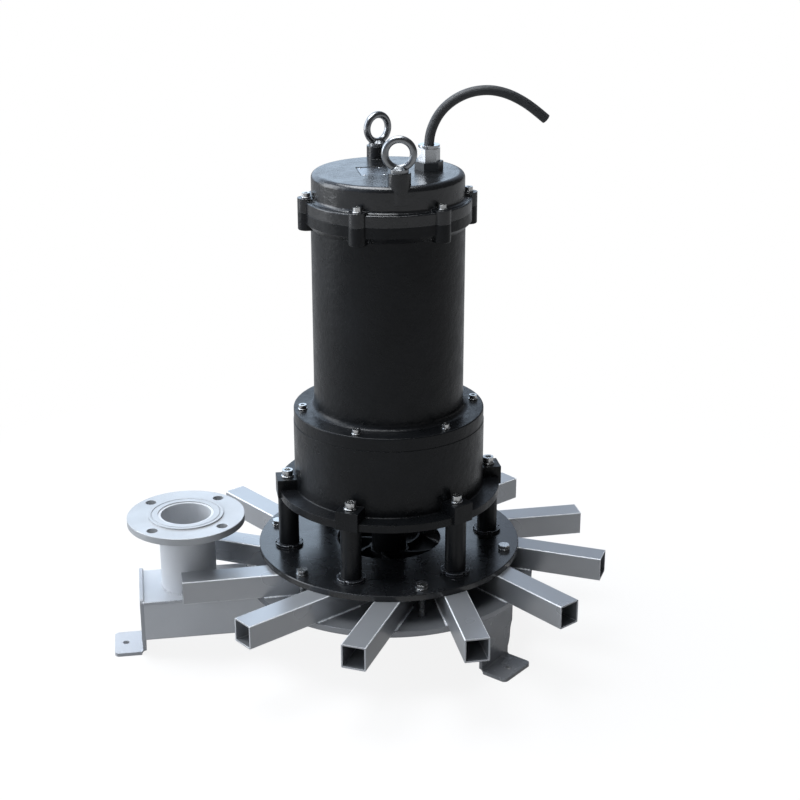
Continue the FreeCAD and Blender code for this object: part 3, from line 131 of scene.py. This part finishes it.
def black_paint(name, rough, ripple, grit, gloss=0.3):
    material, tree, shader = new_material(name)
    dust = spread(tree, grain(tree, 9.0, 6.0), 0.0, 1.0)
    link(tree, tint(tree, dust, (0.004, 0.0045, 0.005), (0.009, 0.0098, 0.0112)),
         shader.inputs["Base Color"])
    link(tree, spread(tree, grain(tree, 38.0), rough, rough + 0.14), shader.inputs["Roughness"])
    shader.inputs["Specular IOR Level"].default_value = gloss
    spray = spread(tree, grain(tree, 420.0, 2.0), 0.0, ripple * RELIEF_GAIN, 0.0, 1.0)
    casting = spread(tree, grain(tree, 90.0, 3.0), 0.0, grit * RELIEF_GAIN, 0.0, 1.0)
    relief(tree, shader, [spray, casting], edge=0.0012)
    return material


def finish_nodes(material, *names):
    for name in names:
        mesh = nodes[name].data
        mesh.materials.clear()
        mesh.materials.append(material)


cast_paint = black_paint("black_paint_on_casting", 0.24, 0.2, 0.55, 0.26)
finish_nodes(cast_paint, "motor_housing", "oil_chamber")
cover_paint = black_paint("black_paint_on_cover", 0.17, 0.2, 0.4, 0.8)
finish_nodes(cover_paint, "motor_top_cover")

# Columns and ring nuts: drawn steel bar, turned at both ends and sprayed with the motor. The
# slotted ring nuts lock the columns' feet on the plate, and the spanner has chipped their edges.


def corners_for_wear_and_highlight(tree, radius, low, high):
    """One where a sharp corner is near, zero on open faces."""
    geometry = tree.nodes.new("ShaderNodeNewGeometry")
    agree = tree.nodes.new("ShaderNodeVectorMath")
    agree.operation = "DOT_PRODUCT"
    link(tree, rounded(tree, radius), agree.inputs[0])
    link(tree, geometry.outputs["Normal"], agree.inputs[1])
    return spread(tree, agree.outputs["Value"], 1.0, 0.0, low, high)


def chipped_paint(name):
    material, tree, shader = new_material(name)
    bare = corners_for_wear_and_highlight(tree, 0.0016, 0.82, 0.98)
    link(tree, tint(tree, bare, (0.012, 0.013, 0.015), (0.7, 0.72, 0.75)), shader.inputs["Base Color"])
    link(tree, bare, shader.inputs["Metallic"])
    link(tree, spread(tree, grain(tree, 60.0), 0.2, 0.36), shader.inputs["Roughness"])
    relief(tree, shader, [spread(tree, grain(tree, 420.0, 2.0), 0.0, 0.3)], edge=0.0008)
    return material


finish_nodes(black_paint("black_paint_on_bar", 0.24, 0.2, 0.1), "support_columns")
finish_nodes(chipped_paint("chipped_black_paint"), "column_lock_nuts")

# Impeller: one iron casting of six blades on a disc and hub, dipped in the same black coat,
# rougher and grittier than the motor's. A nut holds it on the shaft's end.
finish_nodes(black_paint("black_paint_on_impeller", 0.4, 0.3, 0.8), "impeller")

# Suction plate: flat steel plate, cut round and bored, with a thicker and smoother black coat
# that mirrors the columns standing on it.
plate_paint = black_paint("black_paint_on_plate", 0.2, 0.05, 0.12)
plate_shader = plate_paint.node_tree.nodes["Principled BSDF"]
plate_shader.inputs["Coat Weight"].default_value = 0.8
plate_shader.inputs["Coat Roughness"].default_value = 0.2
finish_nodes(plate_paint, "suction_plate")

# Outlet tubes and mixing ring: square steel tube sawn to length, with drawn corners, sprayed
# with a thin silver coat. Their rounded corners and sawn ends are coloured near white as a painted
# highlight.


def corner_highlight_mask(tree):
    """One on a level tube's rounded corners, where a highlight is painted, zero on its flat faces."""
    geometry = tree.nodes.new("ShaderNodeNewGeometry")
    split = tree.nodes.new("ShaderNodeSeparateXYZ")
    link(tree, geometry.outputs["Normal"], split.inputs["Vector"])
    slope = maths(tree, "MULTIPLY", split.outputs["Z"], split.outputs["Z"])
    return maths(tree, "COMPARE", slope, 0.5, 0.44)


def silver_coat(name):
    material, tree, shader = new_material(name)
    cloud = spread(tree, grain(tree, 9.0, 3.0), 0.0, 1.0, 0.1, 0.9)
    coat = tint(tree, cloud, (0.37, 0.38, 0.395), (0.48, 0.49, 0.505))
    # Painted highlight: the rounded corners and sawn ends turn near white and less metallic.
    edge = maths(tree, "MAXIMUM", corners_for_wear_and_highlight(tree, 0.0024, 0.8, 0.97), corner_highlight_mask(tree))
    link(tree, tint(tree, edge, coat, (0.96, 0.97, 0.98)), shader.inputs["Base Color"])
    link(tree, spread(tree, edge, 0.6, 0.05, 0.0, 1.0), shader.inputs["Metallic"])
    film = spread(tree, grain(tree, 12.0, 1.0), 0.24, 0.34, 0.0, 1.0)
    link(tree, film, shader.inputs["Roughness"])
    waves = spread(tree, grain(tree, 60.0, 2.0), 0.0, 0.3, 0.0, 1.0)
    relief(tree, shader, [waves], edge=0.0008, depth=0.0003)
    return material


silver = silver_coat("silver_coat_on_tube")
finish_nodes(silver, "mixing_ring", *[f"outlet_tube_{number:02d}" for number in range(1, 13)])

# Air duct, inlet pipe and flange, bottom plate and feet: welded from plate and pipe, then
# sprayed light grey as one unit. The flange and the duct's foot are in darker greys; the bottom plate
# and the two feet are in darker copies of the grey, which are painted shade under the plates and the
# machine.


def grey_paint(name, light, dark, rough, metallic=0.12):
    material, tree, shader = new_material(name)
    cloud = spread(tree, grain(tree, 7.0, 6.0), 0.0, 1.0)
    link(tree, tint(tree, cloud, dark, light), shader.inputs["Base Color"])
    link(tree, spread(tree, grain(tree, 45.0), rough, rough + 0.12), shader.inputs["Roughness"])
    shader.inputs["Metallic"].default_value = metallic
    spray = spread(tree, grain(tree, 350.0, 2.0), 0.0, 0.6, 0.0, 1.0)
    dents = spread(tree, grain(tree, 40.0, 3.0), 0.0, 1.1, 0.0, 1.0)
    relief(tree, shader, [spray, dents], edge=0.0015)
    return material


duct_paint = grey_paint("light_grey_paint", (0.74, 0.75, 0.765), (0.62, 0.63, 0.645), 0.34)
darker_duct_foot_grey = grey_paint("darker_grey_paint", (0.54, 0.55, 0.57), (0.44, 0.45, 0.47), 0.34)
darker_flange_grey = grey_paint("darker_metallic_grey_paint", (0.58, 0.59, 0.6), (0.42, 0.43, 0.44), 0.28, 0.3)
# The bottom plate's and the feet's darker greys are painted shade under the plates and the machine.
plate_grey_with_painted_shade = grey_paint("silver_grey_paint", (0.34, 0.35, 0.365), (0.25, 0.257, 0.27), 0.14, 0.6)
foot_grey_with_painted_shade = grey_paint("foot_grey_with_painted_shade", (0.42, 0.43, 0.45), (0.26, 0.265, 0.275), 0.2, 0.25)
finish_nodes(duct_paint, "air_duct", "inlet_pipe")
finish_nodes(darker_duct_foot_grey, "duct_foot")
finish_nodes(darker_flange_grey, "inlet_flange")
finish_nodes(plate_grey_with_painted_shade, "bottom_plate")
finish_nodes(foot_grey_with_painted_shade, "front_foot", "rear_foot")

# Weld beads: short ripples of weld metal laid by hand along the tubes' lower corners, round
# the inlet pipe, along the duct's lid and along the feet, and painted over with the rest.
BEAD_RADIUS = 0.0021
BEAD_PITCH = 0.0032
PLATE_TOP = 0.120
PLATE_RADIUS = 0.2457
RING_RADIUS = 0.118
TUBE_OFFSET = 0.070
TUBE_HALF = 0.020
TUBE_TURN = 1.3
TUBE_STANDOFF = 0.0006
SEAM_MARGIN = 0.004
SEAM_STARTS = {-1: 0.3, 1: 0.42}
INLET_X = -0.342
PIPE_RADIUS = 0.0462
PIPE_STANDOFF = 0.0008
PIPE_POINTS = 72
DUCT_TOP = 0.110
FLANGE_UNDERSIDE = 0.2255
UPSTAND_SEAM = ((-0.4205, -0.061, 0.1105), (-0.4205, 0.061, 0.1105))
LID_SEAM = ((-0.419, -0.063, 0.1104), (-0.215, -0.063, 0.1104))
FOOT_TURN = 48
FOOT_SEAMS = (0.2190, 0.2270)
FOOT_SEAM_HEIGHT = 0.1097
HALF_FOOT = 0.040


def growth_tree(name, kinds):
    """A node tree for what repeats on a piece, and the start that gives its named inputs."""
    tree = bpy.data.node_groups.new(name, "GeometryNodeTree")
    tree.interface.new_socket("Geometry", in_out="INPUT", socket_type="NodeSocketGeometry")
    for label, kind in kinds.items():
        tree.interface.new_socket(label, in_out="INPUT", socket_type="NodeSocket" + kind)
    tree.interface.new_socket("Geometry", in_out="OUTPUT", socket_type="NodeSocketGeometry")
    return tree, tree.nodes.new("NodeGroupInput")


def close_tree(tree, placed, finish, smooth):
    """Ends a tree: the placed copies made real, shaded smooth or flat, in their finish."""
    real = tree.nodes.new("GeometryNodeRealizeInstances")
    link(tree, placed.outputs["Instances"], real.inputs["Geometry"])
    copies = real.outputs["Geometry"]
    if smooth:
        shaded = tree.nodes.new("GeometryNodeSetShadeSmooth")
        link(tree, copies, shaded.inputs["Geometry"])
        copies = shaded.outputs["Geometry"]
    paint = tree.nodes.new("GeometryNodeSetMaterial")
    link(tree, copies, paint.inputs["Geometry"])
    link(tree, finish, paint.inputs["Material"])
    end = tree.nodes.new("NodeGroupOutput")
    link(tree, paint.outputs["Geometry"], end.inputs["Geometry"])


def bead_tree():
    """Ripples of weld metal strung along a curve."""
    tree, start = growth_tree("weld_ripples", {"Pitch": "Float", "Radius": "Float", "Paint": "Material"})
    points = tree.nodes.new("GeometryNodeCurveToPoints")
    points.mode = "LENGTH"
    link(tree, start.outputs["Geometry"], points.inputs["Curve"])
    link(tree, start.outputs["Pitch"], points.inputs["Length"])
    ripple = tree.nodes.new("GeometryNodeMeshIcoSphere")
    ripple.inputs["Subdivisions"].default_value = 2
    link(tree, start.outputs["Radius"], ripple.inputs["Radius"])
    size = tree.nodes.new("FunctionNodeRandomValue")
    size.data_type = "FLOAT"
    size.inputs["Min"].default_value = 0.75
    size.inputs["Max"].default_value = 1.15
    size.inputs["Seed"].default_value = 4
    strung = tree.nodes.new("GeometryNodeInstanceOnPoints")
    link(tree, points.outputs["Points"], strung.inputs["Points"])
    link(tree, ripple.outputs["Mesh"], strung.inputs["Instance"])
    link(tree, size.outputs["Value"], strung.inputs["Scale"])
    close_tree(tree, strung, start.outputs["Paint"], smooth=True)
    return tree


def grown(name, source, tree, values):
    """Runs a node tree on an object, keeps the result as a plain mesh, and makes it ride."""
    bpy.context.scene.collection.objects.link(source)
    modifier = source.modifiers.new("growth", "NODES")
    modifier.node_group = tree
    for item in tree.interface.items_tree:
        if item.in_out == "INPUT" and item.name in values:
            modifier[item.identifier] = values[item.name]
    bpy.context.view_layer.update()
    graph = bpy.context.evaluated_depsgraph_get()
    mesh = bpy.data.meshes.new_from_object(source.evaluated_get(graph))
    mesh.polygons.foreach_set("material_index", [0] * len(mesh.polygons))
    while mesh.materials and mesh.materials[0] is None:
        mesh.materials.pop(index=0)
    bpy.data.objects.remove(source)
    piece = bpy.data.objects.new(name, mesh)
    bpy.context.scene.collection.objects.link(piece)
    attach(piece, "machine")


def seam_lines(name, lines):
    """Straight or round seams as one curve object, each a list of points and a closed mark."""
    curve = bpy.data.curves.new(name, "CURVE")
    curve.dimensions = "3D"
    for points, closed in lines:
        spline = curve.splines.new("POLY")
        spline.points.add(len(points) - 1)
        for point, place in zip(spline.points, points):
            point.co = (*place, 1.0)
        spline.use_cyclic_u = closed
    return bpy.data.objects.new(name, curve)


def spokes(degrees):
    """The level directions along and across a spoke that stands so many degrees round."""
    turn = math.radians(degrees)
    return Vector((math.cos(turn), math.sin(turn), 0)), Vector((-math.sin(turn), math.cos(turn), 0))


def ring_points(centre, radius, count):
    places = []
    for step in range(count):
        angle = 2 * math.pi * step / count
        places.append((centre[0] + radius * math.cos(angle), centre[1] + radius * math.sin(angle),
                       centre[2]))
    return places


ripples = bead_tree()
tube_seams = []
for number in range(12):
    along, aside = spokes(30 * number + TUBE_TURN)
    for side, seam_start in SEAM_STARTS.items():
        offset = TUBE_OFFSET + side * (TUBE_HALF + TUBE_STANDOFF)
        inner = math.sqrt(RING_RADIUS ** 2 - offset ** 2) + SEAM_MARGIN
        outer = math.sqrt(PLATE_RADIUS ** 2 - offset ** 2) - SEAM_MARGIN
        first = inner + (outer - inner) * seam_start
        corner = aside * offset + Vector((0, 0, PLATE_TOP))
        tube_seams.append(([along * first + corner, along * outer + corner], False))
grown("tube_weld_beads", seam_lines("tube_seams", tube_seams), ripples,
      {"Pitch": BEAD_PITCH, "Radius": BEAD_RADIUS, "Paint": silver})

duct_seams = [
    (ring_points((INLET_X, 0, DUCT_TOP), PIPE_RADIUS + PIPE_STANDOFF, PIPE_POINTS), True),
    (ring_points((INLET_X, 0, FLANGE_UNDERSIDE), PIPE_RADIUS + PIPE_STANDOFF, PIPE_POINTS), True),
    (UPSTAND_SEAM, False),
    (LID_SEAM, False),
]
for turn in (-FOOT_TURN, FOOT_TURN):
    out, aside = spokes(turn)
    for depth in FOOT_SEAMS:
        middle = out * depth + Vector((0, 0, FOOT_SEAM_HEIGHT))
        duct_seams.append(([middle - aside * HALF_FOOT, middle + aside * HALF_FOOT], False))
grown("duct_weld_beads", seam_lines("duct_seams", duct_seams), ripples,
      {"Pitch": BEAD_PITCH, "Radius": BEAD_RADIUS, "Paint": duct_paint})

# Screws, plate bolts, washers and nuts: turned stainless steel. The threads of the long plate
# bolts show between the plates.
THREAD_PITCH = 0.0015
THREAD_SPAN = (0.05, 0.171)


def screw_thread(tree, low, high):
    """The ridges of a standing screw's thread between two heights."""
    place = tree.nodes.new("ShaderNodeTexCoord")
    split = tree.nodes.new("ShaderNodeSeparateXYZ")
    link(tree, place.outputs["Object"], split.inputs["Vector"])
    height = split.outputs["Z"]
    ridges = maths(tree, "SINE", maths(tree, "MULTIPLY", height, 2 * math.pi / THREAD_PITCH))
    above = maths(tree, "GREATER_THAN", height, low)
    below = maths(tree, "LESS_THAN", height, high)
    return maths(tree, "MULTIPLY", ridges, maths(tree, "MULTIPLY", above, below))


def bright_steel(name, colour, rough, ripple=0.025, thread=None):
    """Bare or plated metal, with a screw thread between two heights where thread gives them."""
    material, tree, shader = new_material(name)
    cloud = spread(tree, grain(tree, 120.0, 3.0), 0.0, 1.0)
    darker = tuple(value * 0.72 for value in colour)
    link(tree, tint(tree, cloud, darker, colour), shader.inputs["Base Color"])
    shader.inputs["Metallic"].default_value = 1.0
    link(tree, spread(tree, grain(tree, 120.0), rough, rough + 0.1), shader.inputs["Roughness"])
    heights = [spread(tree, grain(tree, 900.0, 2.0), 0.0, ripple)]
    if thread:
        heights.append(screw_thread(tree, *thread))
    relief(tree, shader, heights, edge=0.0006)
    return material


stainless = bright_steel("turned_stainless_steel", (0.72, 0.72, 0.71), 0.2)
threaded = bright_steel("threaded_stainless_steel", (0.7, 0.7, 0.69), 0.2, thread=THREAD_SPAN)
finish_nodes(stainless, "cover_screws", "motor_flange_screws", "column_screws", "plate_washers",
             "plate_nuts", "oil_plug", "impeller_nut")
finish_nodes(threaded, "plate_bolts")

# Spring washers: split rings of square spring steel, crushed flat under the socket heads.
# Each row below gives a row of six: its circle, its height, the ring's radius and its wire.
WASHER_ROWS = (
    ("column_spring_washers", 0.171, 0.2952, 0.0094, 0.0024),
    ("flange_spring_washers", 0.143, 0.4129, 0.0068, 0.0018),
    ("cover_spring_washers", 0.130, 0.7664, 0.0068, 0.0018),
)
WASHER_SWEEP = 350
SCREWS_IN_A_ROW = 6


def washer_tree():
    """Split rings set on points, each with its gap turned another way."""
    tree, start = growth_tree("spring_washers",
                              {"Ring Radius": "Float", "Wire": "Float", "Steel": "Material"})
    loop = tree.nodes.new("GeometryNodeCurveArc")
    loop.inputs["Resolution"].default_value = 40
    loop.inputs["Sweep Angle"].default_value = math.radians(WASHER_SWEEP)
    link(tree, start.outputs["Ring Radius"], loop.inputs["Radius"])
    section = tree.nodes.new("GeometryNodeCurvePrimitiveQuadrilateral")
    link(tree, start.outputs["Wire"], section.inputs["Width"])
    link(tree, start.outputs["Wire"], section.inputs["Height"])
    swept = tree.nodes.new("GeometryNodeCurveToMesh")
    swept.inputs["Fill Caps"].default_value = True
    link(tree, loop.outputs["Curve"], swept.inputs["Curve"])
    link(tree, section.outputs["Curve"], swept.inputs["Profile Curve"])
    turned = tree.nodes.new("FunctionNodeRandomValue")
    turned.data_type = "FLOAT"
    turned.inputs["Max"].default_value = 6.28
    turned.inputs["Seed"].default_value = 11
    turn = tree.nodes.new("ShaderNodeCombineXYZ")
    link(tree, turned.outputs["Value"], turn.inputs["Z"])
    points = tree.nodes.new("GeometryNodeMeshToPoints")
    link(tree, start.outputs["Geometry"], points.inputs["Mesh"])
    placed = tree.nodes.new("GeometryNodeInstanceOnPoints")
    link(tree, points.outputs["Points"], placed.inputs["Points"])
    link(tree, swept.outputs["Mesh"], placed.inputs["Instance"])
    link(tree, turn.outputs["Vector"], placed.inputs["Rotation"])
    close_tree(tree, placed, start.outputs["Steel"], smooth=False)
    return tree


def marked_places(name, places):
    """An object that only marks points, for a tree to set pieces on."""
    mesh = bpy.data.meshes.new(name)
    mesh.from_pydata(places, [], [])
    return bpy.data.objects.new(name, mesh)


rings = washer_tree()
for name, circle, height, ring, wire in WASHER_ROWS:
    screws = marked_places(name + "_places", ring_points((0, 0, height), circle, SCREWS_IN_A_ROW))
    grown(name, screws, rings, {"Ring Radius": ring, "Wire": wire, "Steel": stainless})

# Eye bolts: drop-forged lifting eyes, polished and plated, screwed into the cover's two bosses.
# Their plating is darker than the stainless screws.
bright_plate = bright_steel("bright_plated_steel", (0.35, 0.36, 0.37), 0.2, ripple=0.01)
finish_nodes(bright_plate, "eye_bolt_front", "eye_bolt_rear")

# Cable gland: a nickel-plated brass nut on a black moulded base, closed by a rubber bush that
# grips the cable. The motor's two ring seals are of the same rubber.


def soft_black(name, colour, rough, depth=0.0001):
    material, tree, shader = new_material(name)
    cloud = spread(tree, grain(tree, 25.0, 5.0), 0.0, 1.0)
    lighter = tuple(value * 1.5 for value in colour)
    link(tree, tint(tree, cloud, colour, lighter), shader.inputs["Base Color"])
    link(tree, spread(tree, grain(tree, 80.0), rough, rough + 0.12), shader.inputs["Roughness"])
    relief(tree, shader, [spread(tree, grain(tree, 700.0, 3.0), 0.0, 1.0)], depth=depth)
    return material


nickel = bright_steel("nickel_plated_brass", (0.66, 0.68, 0.7), 0.2, ripple=0.008)
gland_plastic = soft_black("black_moulded_plastic", (0.034, 0.037, 0.04), 0.3)
seal_rubber = soft_black("seal_rubber", (0.02, 0.02, 0.021), 0.55)
finish_nodes(nickel, "gland_nut")
finish_nodes(gland_plastic, "gland_body")
finish_nodes(seal_rubber, "gland_seal", "cover_seal_ring", "carrier_seal_ring")

# Power cable: round rubber-sheathed cable, stiff enough to hold its own arch, cut off square.
# Its route is given in millimetres across and up from where it leaves the gland.
CABLE_START = (0.066, 0.004, 0.837)
CABLE_RADIUS = 0.0079
CABLE_ROUTE = [
    (0, 0), (0, 13), (5, 33), (17, 55), (37, 73), (64, 85), (94, 88), (122, 82), (147, 70), (169, 55),
    (188, 39),
]
MILLIMETRES = 1000
cable_curve = bpy.data.curves.new("cable_line", "CURVE")
cable_curve.dimensions = "3D"
cable_curve.resolution_u = 16
cable_curve.bevel_depth = CABLE_RADIUS
cable_curve.bevel_resolution = 8
cable_curve.use_fill_caps = True
run = cable_curve.splines.new("NURBS")
run.points.add(len(CABLE_ROUTE) - 1)
for point, (across, rise) in zip(run.points, CABLE_ROUTE):
    point.co = (CABLE_START[0] + across / MILLIMETRES, CABLE_START[1],
                CABLE_START[2] + rise / MILLIMETRES, 1.0)
run.order_u = 3
run.use_endpoint_u = True
cable = bpy.data.objects.new("cable", cable_curve)
bpy.context.scene.collection.objects.link(cable)
cable_curve.materials.append(soft_black("cable_sheath_rubber", (0.032, 0.033, 0.034), 0.42, 0.0003))
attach(cable, "machine")
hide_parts("power_cable")

# Nameplate: thin brushed aluminium with nothing on it, laid on the cover and held by four
# domed drive rivets near its corners.
RIVET_RADIUS = 0.0018
RIVET_INSET = 0.005
plate_metal = bright_steel("brushed_aluminium", (0.3, 0.31, 0.33), 0.22)
finish_nodes(plate_metal, "nameplate")


def rivet_tree():
    """Flattened rivet heads set on points."""
    tree, start = growth_tree("drive_rivets", {"Head Radius": "Float", "Metal": "Material"})
    points = tree.nodes.new("GeometryNodeMeshToPoints")
    link(tree, start.outputs["Geometry"], points.inputs["Mesh"])
    head = tree.nodes.new("GeometryNodeMeshUVSphere")
    head.inputs["Segments"].default_value = 20
    head.inputs["Rings"].default_value = 10
    link(tree, start.outputs["Head Radius"], head.inputs["Radius"])
    placed = tree.nodes.new("GeometryNodeInstanceOnPoints")
    placed.inputs["Scale"].default_value = (1.0, 1.0, 0.45)
    link(tree, points.outputs["Points"], placed.inputs["Points"])
    link(tree, head.outputs["Mesh"], placed.inputs["Instance"])
    close_tree(tree, placed, start.outputs["Metal"], smooth=True)
    return tree


low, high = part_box("nameplate")
rivets = marked_places("rivet_places", [(x, y, high.z)
                                        for x in (low.x + RIVET_INSET, high.x - RIVET_INSET)
                                        for y in (low.y + RIVET_INSET, high.y - RIVET_INSET)])
grown("nameplate_rivets", rivets, rivet_tree(), {"Head Radius": RIVET_RADIUS, "Metal": stainless})

# Motor inside: stacked sheet-steel cores, varnished copper winding, ground shaft and ball
# bearings in machined iron seats. All of it is closed in when the motor is whole.
core_steel = bright_steel("stacked_core_steel", (0.36, 0.37, 0.4), 0.34)
copper = bright_steel("varnished_copper", (0.62, 0.25, 0.1), 0.28)
shaft_steel = bright_steel("ground_shaft_steel", (0.63, 0.63, 0.65), 0.16)
iron = bright_steel("machined_iron", (0.34, 0.34, 0.35), 0.38)
seal_face = bright_steel("lapped_seal_face", (0.2, 0.2, 0.22), 0.1)
finish_nodes(core_steel, "stator_core", "rotor_core")
finish_nodes(copper, "stator_winding")
finish_nodes(shaft_steel, "motor_shaft", "upper_bearing_outer_ring", "upper_bearing_inner_ring",
             "lower_bearing_outer_ring", "lower_bearing_inner_ring", "upper_bearing_balls",
             "lower_bearing_balls")
finish_nodes(iron, "upper_bearing_bracket", "bearing_carrier")
finish_nodes(seal_face, "upper_seal_seat", "lower_seal_seat", "upper_seal_head", "lower_seal_head")

# Floor: a plain pale ground that keeps the machine's soft shadow near its feet. Straight from
# the camera it is white, the whiter the further out, and the machine mirrors a part of that.
FLOOR_HALF = 30.0
SHADOW_REACH = (0.4, 1.3)
FLOOR_MIRRORED = 0.32


def pale_share(tree, ray, seen, mirrored):
    """How much of the white backdrop a ray meets: straight from the camera, or by a mirror."""
    indirect = maths(tree, "ADD", ray.outputs["Is Glossy Ray"], ray.outputs["Is Transmission Ray"])
    weaker = maths(tree, "MULTIPLY", indirect, mirrored)
    return maths(tree, "MULTIPLY_ADD", ray.outputs["Is Camera Ray"], seen, weaker)


floor_mesh = bpy.data.meshes.new("floor")
floor_mesh.from_pydata([(-FLOOR_HALF, -FLOOR_HALF, 0), (FLOOR_HALF, -FLOOR_HALF, 0),
                        (FLOOR_HALF, FLOOR_HALF, 0), (-FLOOR_HALF, FLOOR_HALF, 0)], [], [(0, 1, 2, 3)])
floor = bpy.data.objects.new("floor", floor_mesh)
bpy.context.scene.collection.objects.link(floor)
floor_material, floor_tree, floor_shader = new_material("pale_floor")
floor_shader.inputs["Roughness"].default_value = 0.8
ray = floor_tree.nodes.new("ShaderNodeLightPath")
ground = tint(floor_tree, ray.outputs["Is Camera Ray"], (0.24, 0.24, 0.24), (1.0, 1.0, 1.0))
link(floor_tree, ground, floor_shader.inputs["Base Color"])
glow = floor_tree.nodes.new("ShaderNodeEmission")
glow.inputs["Strength"].default_value = 1.0
place = floor_tree.nodes.new("ShaderNodeTexCoord")
far = floor_tree.nodes.new("ShaderNodeVectorMath")
far.operation = "LENGTH"
link(floor_tree, place.outputs["Object"], far.inputs[0])
whiteness = spread(floor_tree, far.outputs["Value"], 0.87, 1.0, *SHADOW_REACH)
blend = floor_tree.nodes.new("ShaderNodeMixShader")
link(floor_tree, pale_share(floor_tree, ray, whiteness, FLOOR_MIRRORED), blend.inputs["Fac"])
link(floor_tree, floor_shader.outputs["BSDF"], blend.inputs[1])
link(floor_tree, glow.outputs["Emission"], blend.inputs[2])
link(floor_tree, blend.outputs["Shader"], floor_tree.nodes["Material Output"].inputs["Surface"])
floor_mesh.materials.append(floor_material)

# Studio: a dim surround, brighter behind and on the left and white straight from the camera.
# A wide soft box stands behind the machine, one hangs over it and a tall one stands on the
# left. A weak one fills in from the front and is mirrored by nothing.
BRIGHT_SIDE = (-0.75, 0.6, 0.28)
SKY_MIRRORED = 0.04
world = bpy.data.worlds.new("studio")
bpy.context.scene.world = world
world.use_nodes = True
sky = world.node_tree
background = sky.nodes["Background"]
direction = sky.nodes.new("ShaderNodeTexCoord")
towards = sky.nodes.new("ShaderNodeVectorMath")
towards.operation = "DOT_PRODUCT"
towards.inputs[1].default_value = BRIGHT_SIDE
link(sky, direction.outputs["Generated"], towards.inputs[0])
side = spread(sky, towards.outputs["Value"], 0.0, 1.0, -0.1, 0.9)
surround = tint(sky, side, (0.045, 0.046, 0.05), (0.66, 0.78, 0.98))
white_share = pale_share(sky, sky.nodes.new("ShaderNodeLightPath"), 1.0, SKY_MIRRORED)
link(sky, tint(sky, white_share, surround, (1.0, 1.0, 1.0)), background.inputs["Color"])
background.inputs["Strength"].default_value = 1.0


def soft_box(name, place, aim, width, height, power, colour=(0.94, 0.97, 1.0)):
    lamp = bpy.data.lights.new(name, "AREA")
    lamp.shape = "RECTANGLE"
    lamp.size = width
    lamp.size_y = height
    lamp.energy = power
    lamp.color = colour
    box = bpy.data.objects.new(name, lamp)
    bpy.context.scene.collection.objects.link(box)
    box.location = place
    box.rotation_euler = (Vector(aim) - Vector(place)).to_track_quat("-Z", "Y").to_euler()
    return box


soft_box("back_soft_box", (-0.9, 3.1, 1.7), (0, 0, 0.9), 3.8, 1.6, 22, (0.66, 0.83, 1.0))
soft_box("top_soft_box", (-0.5, 0.2, 3.1), (-0.1, 0, 0.3), 2.0, 2.0, 90)
soft_box("left_soft_box", (-2.8, 0.7, 1.5), (0, 0, 0.5), 1.7, 2.6, 52)
fill = soft_box("front_fill", (-2.3, -2.6, 1.3), (0, 0, 0.3), 1.6, 1.6, 18)
fill.visible_glossy = False

# Camera: the photograph's own place, 2.4 m in front and a little above the machine's top. Its
# place, pitch, turn and focal length were fitted to the machine's round plates and flanges.
CAMERA_TURN = math.radians(9.1)
CAMERA_YAW = math.radians(0.45)
CAMERA_PITCH = math.radians(20.47)
CAMERA_DISTANCE = 2.3965
CAMERA_HEIGHT = 1.3134
FOCAL_PIXELS = 1543.5
PICTURE_PIXELS = 800
SENSOR_WIDTH = 36.0
lens = bpy.data.cameras.new("camera")
lens.sensor_width = SENSOR_WIDTH
lens.lens = SENSOR_WIDTH * FOCAL_PIXELS / PICTURE_PIXELS
camera = bpy.data.objects.new("camera", lens)
bpy.context.scene.collection.objects.link(camera)
camera.location = (-CAMERA_DISTANCE * math.sin(CAMERA_TURN), -CAMERA_DISTANCE * math.cos(CAMERA_TURN),
                   CAMERA_HEIGHT)
camera.rotation_euler = (math.pi / 2 - CAMERA_PITCH, 0, -(CAMERA_TURN + CAMERA_YAW))
bpy.context.scene.camera = camera
bpy.context.scene.view_settings.view_transform = "Standard"
